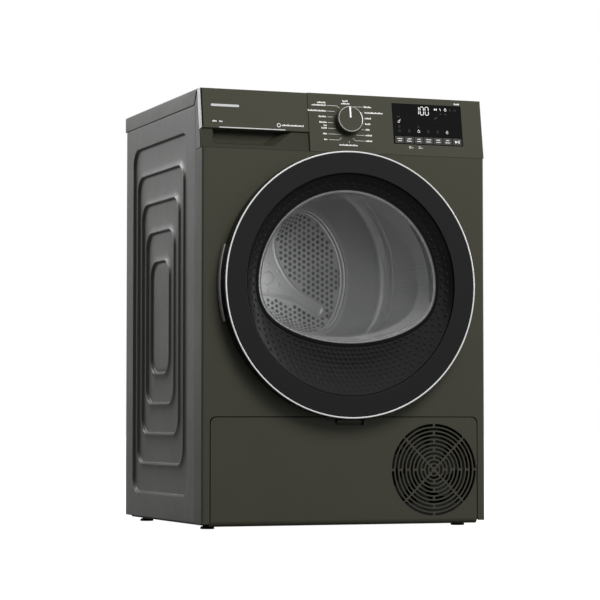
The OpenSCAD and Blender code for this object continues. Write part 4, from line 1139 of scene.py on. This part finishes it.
GRILLE = (186.4, 112.4)
GRILLE_R = 93
SLOT_PITCH = 8
SLOT_W = 5.1
SLOT_RINGS = 11
SPOKE = 2.9
THIN_SPOKE = 1.2
LATCH_LEFT, LATCH_RIGHT = -25, 37
POCKET_Z = 200.5
EDGE_Z = 212
STEP_HALF = 44


def slot_outline(r, start, end):
    """Part of a ring with tapered ends, between two angles in degrees."""
    steps = max(3, int((end - start) * r / 300))
    nose = min(math.degrees(SLOT_W * 0.35 / r), (end - start) * 0.2)
    outer = arc(GRILLE, r + SLOT_W / 2, start + nose, end - nose, steps)
    inner = arc(GRILLE, r - SLOT_W / 2, end - nose, start + nose, steps)
    first_tip, last_tip = arc(GRILLE, r, start, end, 1)
    return outer + [last_tip] + inner + [first_tip]


def grille_slots():
    """Ring slots. Spokes are diagonal on even rings, and level, upright and thin diagonal on odd ones."""
    slots = []
    for ring in range(1, SLOT_RINGS + 1):
        r = ring * SLOT_PITCH
        odd = ring % 2 == 1 and ring > 1
        spokes = [(45 + 90 * k, THIN_SPOKE if odd else SPOKE) for k in range(4)]
        if odd:
            spokes = sorted(spokes + [(90 * k, SPOKE) for k in range(4)])
        spokes.append((spokes[0][0] + 360, spokes[0][1]))
        for (before, wide_before), (after, wide_after) in zip(spokes, spokes[1:]):
            slots.append(slot_outline(r, before + math.degrees(math.asin(wide_before / 2 / r)),
                                      after - math.degrees(math.asin(wide_after / 2 / r))))
    return slots


def kick_panel():
    """Service panel with the round grille, turned-in lower lip and the latch pocket."""
    half = KICK_HIGH.x - 0.6
    top = KICK_HIGH.z - 0.6
    lip = 16
    y = FRONT_Y
    outline = [(-half, lip), (half, lip)]
    outline += arc((half - KICK_CORNER, top - KICK_CORNER), KICK_CORNER, 0, 90, 6)
    outline += [(STEP_HALF, top), (STEP_HALF, EDGE_Z), (LATCH_RIGHT, EDGE_Z)]
    outline += arc((LATCH_RIGHT - 3, POCKET_Z + 3), 3, 0, -90, 4)
    outline += arc((LATCH_LEFT + 3, POCKET_Z + 3), 3, 270, 180, 4)
    outline += [(LATCH_LEFT, EDGE_Z), (-STEP_HALF, EDGE_Z), (-STEP_HALF, top)]
    outline += arc((-half + KICK_CORNER, top - KICK_CORNER), KICK_CORNER, 90, 180, 6)
    rim = circle(GRILLE, GRILLE_R, 96)
    fold = [(y, lip), (y + 0.5, 12.4), (y + 2, 9.6), (y + 5, 7), (y + 8, 6.2), (y + 8, 9), (y + 5.5, 9.6),
            (y + 3.6, 12.2), (y + 3, lip)]
    left, right, low, high = LATCH_LEFT - 2, LATCH_RIGHT + 2, POCKET_Z - 2, EDGE_Z - 0.2
    parts = [plate(outline, [rim], y, y + 3), plate(rim, grille_slots(), y, y + 3),
             slab(fold, -half, half, sideways), slab(between(left, low, right, high, 1), y + 8, y + 10.8)]
    for x0, x1, z1 in ((left, LATCH_LEFT - 0.2, high), (LATCH_RIGHT + 0.2, right, high),
                       (left, right, POCKET_Z - 0.3)):
        parts.append(block((x0, y + 2.5, low), (x1, y + 9, z1)))
    for sign in (-1, 1):
        root, tip, ear = sign * 262, sign * 273.5, sign * 263
        pin = [(0.05, root), (3, root), (3, tip), (0.05, tip)]
        parts += [block((ear - 2, y + 2, 16), (ear + 2, y + 13, 26)),
                  turned(pin, (y + 9, 22), sideways, 24, soft=(0.6, 2))]
    parts += [block((x - 1, y + 2.6, 30), (x + 1, y + 7, 190)) for x in (-200, -120, -40)]
    piece("service_panel_shell", "service_panel", "front_plastic", joined(*parts), "front_paint",
          "kick_panel", bevel=0.45, sharp=38)
    mid = (LATCH_LEFT + LATCH_RIGHT) / 2
    tab = slab(between(mid - 25, POCKET_Z + 3.4, mid + 25, EDGE_Z - 1, 2.4), y + 0.9, y + 7)
    nose = slab(between(mid - 14, EDGE_Z - 3, mid + 14, EDGE_Z + 0.3, 0.8), y + 1.6, y + 7)
    piece("service_latch_tab", "service_latch", "front_plastic", joined(tab, nose),
          stands_for="kick_latch", bevel=0.5)


BLADES = 7
BLADE_ROOT = 19
BLADE_SPAN = 54
# share of the half chord and thickness
BLADE_SECTION = ((-1, 0), (-0.5, 0.9), (0, 1.2), (0.5, 0.9), (1, 0), (0.5, -0.5), (0, -0.7), (-0.5, -0.5))


def cooling_fan():
    """Seven twisted blades on a domed hub."""
    y = box_mm("cooling_fan")[0].y
    hub = [(2.6, y + 19), (2.6, y + 1), (12, y), (21, y + 3), (22, y + 19)]
    parts = [turned(hub, GRILLE, steps=64, soft=(1.5, 3))]
    for k in range(BLADES):
        rings = []
        for r in (BLADE_ROOT, 32, 46, 60, 72.6):
            out = (r - BLADE_ROOT) / BLADE_SPAN
            pitch = math.radians(52 - 26 * out)
            sweep = math.tau * k / BLADES + math.radians(14 * out ** 2)
            chord = 17 + 3 * math.sin(out * math.pi)
            section = []
            for t, thick in BLADE_SECTION:
                side = t * chord * math.cos(pitch) - thick * math.sin(pitch)
                deep = t * chord * math.sin(pitch) * 0.55 + thick * math.cos(pitch) + (1 - t * t) * 1.5
                a = sweep + side / r
                section.append((GRILLE[0] + r * math.cos(a), y + 9.5 + deep, GRILLE[1] + r * math.sin(a)))
            rings.append(section)
        parts.append(loft(rings))
    piece("fan_wheel", "fan", "dark_moulding", joined(*parts), stands_for="cooling_fan", sharp=40)


def exchanger_cover():
    """Removable cover over the heat exchanger, with two turning locks."""
    low, high = box_mm("exchanger_cover")
    centre, half = middle(low, high), half_size(low, high)
    y = low.y
    levels = ((high.y, 0.5, 12), (y + 1, 0, 12), (y, 1, 11), (y, 4, 9), (y + 3.4, 5, 8), (y + 3.8, 9, 7),
              (y + 2.6, 24, 6), (y + 2.6, 30, 5))
    rings = [placed(rounded_rectangle(centre, half[0] - inset, half[1] - inset, radius), w)
             for w, inset, radius in levels]
    locks = []
    for x in (low.x + 20, high.x - 20):
        head = [(0.05, y + 0.5), (9, y + 0.8), (10, y + 4), (0.05, y + 4)]
        locks += [turned(head, (x, high.z - 19), steps=32, soft=(0.8, 3)),
                  slab(between(x - 7, high.z - 20.6, x + 7, high.z - 17.4, 1.2), y - 2.2, y + 2)]
    piece("exchanger_lid", "cabinet", "light_moulding", [loft(rings), joined(*locks)],
          ["light_moulding", "dark_moulding"], "exchanger_cover", sharp=40, bevel=0.4)


# ---------- round the mouth ----------

def door_gasket():
    """Door seal with two lips."""
    low, high = box_mm("door_seal")
    r, inner = high.x, 204.4
    y0, y1 = low.y, high.y
    profile = [(r, y1), (r, y0 + 2.4), (r - 1.6, y0), (r - 3.6, y0 + 2.2), (r - 5.4, y0 + 2.6),
               (r - 7.0, y0 + 0.2), (r - 9.0, y0 + 2.2), (inner, y0 + 3.2), (inner, y1)]
    piece("door_gasket", "cabinet", "rubber", turned(profile, DOOR_AXIS, soft=(0.8, 3)),
          stands_for="door_seal", sharp=40)


def lint_filter():
    """Lint filter with a screen on each side and a grip."""
    low, high = box_mm("lint_filter")
    pitch_u, pitch_v = 8.0, 8.6
    mouth = between(low.x + 4, low.y + 3.5, high.x - 4, high.y - 3.5, 2.5)
    grip = soften([(-22, high.z - 4), (-16, high.z + 7), (16, high.z + 7), (22, high.z - 4)], 3)
    parts = [plate(between(low.x, low.y, high.x, high.y, 4), [mouth], high.z - 4, high.z, upright),
             block((low.x, low.y + 0.3, low.z), (high.x, high.y - 0.3, low.z + 2)),
             slab(grip, low.y + 0.8, low.y + 3.4)]
    corners = [(low.x + 8 + i * pitch_u, low.z + 4 + j * pitch_v)
               for i in range(int((high.x - low.x - 12) / pitch_u)) for j in range(2)]
    holes = [between(u, v, u + 6.2, v + 6.8, 1, 2) for u, v in corners]
    screen = between(low.x, low.z, high.x, high.z - 3.9, 1.5)
    parts += [plate(screen, holes, y, y + 2) for y in (low.y + 0.3, high.y - 2.3)]
    piece("lint_filter_frame", "cabinet", "light_moulding", joined(*parts), stands_for="lint_filter",
          bevel=0.4)


# ---------- back, feet and connections ----------

COVER_R = box_mm("rear_duct_cover")[1].x
COVER_Y = box_mm("rear_duct_cover")[1].y
SPIGOT = middle(*box_mm("drain_spigot"))
INLET = middle(*box_mm("mains_inlet"))
LOUVRE_STEPS = 8


def louvre(x, z):
    """Hood over one slot, swollen in its middle."""
    rings = []
    for t in range(LOUVRE_STEPS + 1):
        u = x - 37 + 74 * t / LOUVRE_STEPS
        swell = math.sin(math.pi * min(max(t / LOUVRE_STEPS, 0.02), 0.98)) ** 0.5
        rings.append([(u, REAR_Y - 0.4, z + 7), (u, REAR_Y + 3.2 * swell, z + 2.4),
                      (u, REAR_Y + 4.6 * swell, z - 1.2), (u, REAR_Y + 3.8 * swell, z - 1.4),
                      (u, REAR_Y - 0.6, z + 5)])
    return loft(rings)


def back_rib(x):
    """Upright pressed rib."""
    across = ((-9, -0.3, 0), (-6, 0, 1.8), (0, 0, 2.6), (6, 0, 1.8), (9, -0.3, 0))
    return loft([[(x + u, REAR_Y + foot + swell * rise, z) for u, foot, rise in across]
                 for z, swell in ((262, 0.1), (268, 1), (700, 1), (706, 0.1))])


def back_sheet():
    """Zinc sheet with pressed ribs and louvres."""
    holes = [circle(DRUM_AXIS, COVER_R - 14, 160), circle(SPIGOT, 10, 32),
             between(INLET[0] - 16, INLET[1] - 16, INLET[0] + 16, INLET[1] + 16, 1)]
    spots = [(x, 60 + k * 20) for x in (-90, 90) for k in range(9)]
    holes += [between(x - 36, z - 3.2, x + 36, z + 0.4, 1.5) for x, z in spots]
    outline = between(rear_low.x, rear_low.z, rear_high.x, rear_high.z, 1.5)
    skin = joined(plate(outline, holes, REAR_Y - 1.2, REAR_Y), *[louvre(x, z) for x, z in spots],
                  *[back_rib(x) for x in (-262, 262)])
    piece("back_sheet", "cabinet", "zinc_sheet", skin, stands_for="rear_panel", sharp=40)


def duct_cover():
    """Round cover with two pressed rings, and a dark disc inside it that is painted shade for the inside of
    the cover.
    """
    y = COVER_Y
    profile = [(0.05, y - 3.4), (38, y - 3.4), (44, y - 1.8), (52, y - 1.6), (58, y)]
    for r in (96, 152):
        profile += [(r, y), (r + 5, y - 2.2), (r + 13, y - 2.2), (r + 18, y)]
    r = COVER_R
    profile += [(r - 34, y), (r - 28, y - 1.6), (r - 15, REAR_Y + 2.6), (r - 11, REAR_Y + 1.6),
                (r, REAR_Y + 1.6), (r, REAR_Y + 0.1), (r - 14, REAR_Y + 0.1), (r - 31, y - 3), (0.05, y - 5)]
    # painted shade: dark disc that stands for the shade inside the cover
    painted_shade_disc = plate(circle(DRUM_AXIS, r - 36, 96), [], y - 6.4, y - 5.2)
    piece("back_duct_cover", "cabinet", "zinc_sheet",
          [turned(profile, DRUM_AXIS, steps=160, soft=(2.0, 3)), painted_shade_disc], ["zinc_sheet", "zinc_in_painted_shade"],
          "rear_duct_cover", sharp=40)


def drain_nozzle():
    """Flanged hose spigot with barbs."""
    low, high = box_mm("drain_spigot")
    profile = [(5, low.y), (7, low.y), (7, REAR_Y - 5), (14.8, REAR_Y - 4.8), (14.8, REAR_Y - 1.5),
               (9.6, REAR_Y - 1), (9.6, REAR_Y + 2)]
    y = REAR_Y + 2
    while y + 4.6 < high.y:
        profile += [(7.2, y + 0.3), (8, y + 1.2), (7.0, y + 4.6)]
        y += 5
    profile += [(6.8, high.y), (5, high.y)]
    piece("drain_nozzle", "cabinet", "dark_moulding", turned(profile, SPIGOT, steps=48),
          stands_for="drain_spigot", sharp=30)


def screw_head(at, y):
    """Round head with a cross recess, seen from the back, and its shank."""
    arm = [(3, 0.45), (0.45, 0.45), (0.45, 3)]
    cross = []
    for _ in range(4):
        cross += arm
        arm = [(-v, u) for u, v in arm]
    cross = [(at[0] + u * 0.85, at[1] + v * 0.85) for u, v in soften(cross, 0.2, 1)]
    skirt = [(0.05, y), (4, y), (4, y + 1.1), (3.3, y + 1.5), (0.05, y + 1.5)]
    shank = [(0.05, y - 5.5), (1.9, y - 5.5), (1.9, y), (0.05, y)]
    return joined(plate(circle(at, 3.3, 24), [cross], y + 1.5, y + 2.3), turned(skirt, at, steps=24),
                  turned(shank, at, steps=16))


def screws():
    """Screws down both sides of the back, and eight round its duct cover."""
    cover_circle = 226
    heads = []
    for z in (60, 200, 340, 480, 620, 780):
        heads += [screw_head((s * (HALF_W - 8), z), REAR_Y + 0.05) for s in (-1, 1)]
    heads += [screw_head(at, REAR_Y + 1.65) for at in arc(DRUM_AXIS, cover_circle, 22.5, 337.5, 7)]
    piece("back_screws", "cabinet", "zinc_sheet", joined(*heads), "motor_metal", "cabinet_screws", sharp=30)


def feet():
    """Levelling feet: ribbed pad, hexagonal flange and threaded stem."""
    for foot in ("foot_front_left", "foot_front_right", "foot_rear_left", "foot_rear_right"):
        low, high = box_mm(foot)
        centre = middle(low, high, "xy")
        r = (high.x - low.x) / 2
        pad = [(0.05, 0), (r - 1.2, 0), (r, 1.0), (r - 0.6, 3.4), (r - 2.2, 5.2), (0.05, 5.2)]
        thread = [(0.05, 5)]
        z = 7.0
        while z < high.z - 1.5:
            thread += [(3.95, z), (3.3, z + 0.6)]
            z += 1.25
        thread += [(3.0, high.z), (0.05, high.z)]
        base = joined(turned(pad, centre, upright, 48, soft=(0.5, 2)),
                      slab(circle(centre, 9.5, 6), 5.0, 7.4, upright))
        piece(foot + "_pad", foot, "rubber", [base, turned(thread, centre, upright, 24)],
              ["rubber", "motor_metal"], foot, sharp=30)


# ---------- CAD nodes that stay: their finish and bevel ----------

KEPT = {
    "base_tray": ("dark_moulding", 0.6), "front_bulkhead": ("dark_moulding", 0.5),
    # the rear bulkhead takes the darkened zinc: painted shade for the shade it sits in behind the drum
    "rear_bulkhead": ("zinc_in_painted_shade", 0.3), "drum_bearing": ("bronze", 0.3), "drive_belt": ("rubber", 0.3),
    "motor": ("motor_metal", 1.2), "motor_rotor": ("motor_metal", 0.3), "compressor": ("cast_black", 1.5),
    "evaporator": ("aluminium_fins", 0.3), "condenser": ("aluminium_fins", 0.3),
    "refrigerant_pipes": ("copper_pipe", 0.0), "condensate_pump": ("light_moulding", 1.2),
    "tank_chute": ("light_moulding", 0.4), "control_board": ("circuit_green", 0.3),
    "mains_inlet": ("dark_moulding", 0.6), "door_catch": ("dark_moulding", 0.6),
    "hinge_bracket": ("motor_metal", 0.4), "door_back_ring": ("dark_moulding", 0.5),
    "drum_spider": ("cast_black", 1.0), "roller_left": ("rubber", 0.8), "roller_right": ("rubber", 0.8),
}


def finish_cad_nodes():
    """Materials and softened edges for the CAD parts whose shape is already right."""
    for node, (finish, bevel) in KEPT.items():
        made = frame["nodes"][node]
        made.data.materials.clear()
        made.data.materials.append(FINISHES[finish])
        if bevel:
            round_edges(made, bevel, 50)


# ---------- floor, lights and camera: in metres and watts ----------

CAMERA_AT = (-1.70544, -4.55925, 0.20741)
CAMERA_YAW = 20.47
CAMERA_PITCH = 2.94
LENS = 142.1
ROOM_LIGHT = 0.24
ROOM_SHINE = 0.45


def aimed(made, at, aim):
    """Puts an object at a place with its back to +Z and its front towards the aim."""
    made.location = at
    made.rotation_euler = (Vector(aim) - Vector(at)).to_track_quat("-Z", "Y").to_euler()


def lamp(name, at, size, power, aim=(0, 0, 0.45), shines=True):
    """Square softbox. shines is whether it shows in reflections."""
    light = bpy.data.lights.new(name, "AREA")
    light.size = size
    light.energy = power
    made = linked(name, light)
    aimed(made, at, aim)
    made.visible_camera = False
    made.visible_glossy = shines
    made.visible_transmission = shines


def card(name, half, finish):
    """Flat square that belongs to the stage."""
    mesh = bpy.data.meshes.new(name)
    mesh.from_pydata([(-half, -half, 0), (half, -half, 0), (half, half, 0), (-half, half, 0)],
                     [], [(0, 1, 2, 3)])
    mesh.materials.append(finish)
    made = linked(name, mesh)
    return made


def floor():
    """Plain pale floor that looks white to the camera and throws little light back up."""
    pale = material("floor_pale", (0.16, 0.16, 0.16), 0.8, 0, 0.01, 3, 0.02)
    seen = add_node(pale.node_tree, "LightPath").outputs["Is Camera Ray"]
    feed(principled(pale), {"Emission Color": (1, 1, 1, 1), "Emission Strength": seen})
    card("floor", 30, pale)


def dark_card():
    """Black card on the camera's left that keeps room light off the slopes facing forwards."""
    black = material("card_black", (0.004, 0.004, 0.004), 0.9, 0, 0, 3, 0.05, Specular_IOR_Level=0.0)
    made = card("dark_card", 0.7, black)
    aimed(made, (-1.7, -0.75, 0.72), (-0.3, -0.1, 0.45))
    for ray in ("camera", "transmission", "shadow", "volume_scatter"):
        setattr(made, "visible_" + ray, False)


def room():
    """White backdrop for the camera, soft grey light for everything else."""
    world = bpy.data.worlds.new("studio")
    world.use_nodes = True
    tree = world.node_tree
    path = add_node(tree, "LightPath")
    level = times_plus(tree, path.outputs["Is Glossy Ray"], ROOM_SHINE, ROOM_LIGHT)
    soft = tree.nodes["Background"]
    feed(soft, {"Color": (0.97, 0.98, 1.0, 1), "Strength": level})
    backdrop = add_node(tree, "Background", {"Color": (1, 1, 1, 1)})
    choose = add_node(tree, "MixShader", {"Fac": path.outputs["Is Camera Ray"], 1: soft.outputs["Background"],
                                          2: backdrop.outputs["Background"]})
    feed(tree.nodes["World Output"], {"Surface": choose.outputs["Shader"]})
    bpy.context.scene.world = world


def stage():
    """Floor, room, softboxes, the lamps in the drum and the camera at the photograph's angle."""
    floor()
    room()
    dark_card()
    lamp("left_softbox", (-1.5, 1.5, 1.9), 0.9, 22, aim=(-0.3, 0, 0.8))
    lamp("rear_left_softbox", (-2.4, 2.4, 1.9), 1.6, 20)
    lamp("front_softbox", (0.7, -2.9, 2.8), 1.8, 135, shines=False)
    lamp("top_softbox", (0, 0.1, 2.8), 2.0, 16)
    lamp("back_softbox", (1.6, 3.2, 1.8), 2.0, 50)
    lamp("right_softbox", (3.2, -0.2, 1.4), 1.8, 26)
    lamp("drum_lamp", (-0.06, -0.12, 0.53), 0.12, 0.55, aim=(0.06, 0.2, 0.50), shines=False)
    lamp("drum_hub_lamp", (-0.10, 0.08, 0.47), 0.08, 0.55, aim=(-0.03, 0.21, 0.46), shines=False)
    lamp("drum_side_lamp", (-0.19, 0.0, 0.52), 0.12, 0.8, aim=(-0.14, 0.21, 0.48), shines=False)
    scene = bpy.context.scene
    scene.view_settings.view_transform = "Standard"
    camera = bpy.data.cameras.new("camera")
    camera.lens = LENS
    camera.sensor_width = 36
    holder = linked("camera", camera)
    holder.location = CAMERA_AT
    holder.rotation_euler = (math.radians(90 + CAMERA_PITCH), 0, math.radians(-CAMERA_YAW))
    scene.camera = holder


stage()
finish_cad_nodes()
side_panel("left", -1)
side_panel("right", 1)
worktop()
front_panel()
control_fascia()
fascia_marks()
display()
keys()
knob()
drawer_front()
drawer_trims()
water_tank()
dimpled_cover()
door_rings()
door_glass()
door_grip()
drum_cylinder()
drum_back()
drum_lifters()
kick_panel()
cooling_fan()
exchanger_cover()
door_gasket()
lint_filter()
back_sheet()
duct_cover()
drain_nozzle()
screws()
feet()
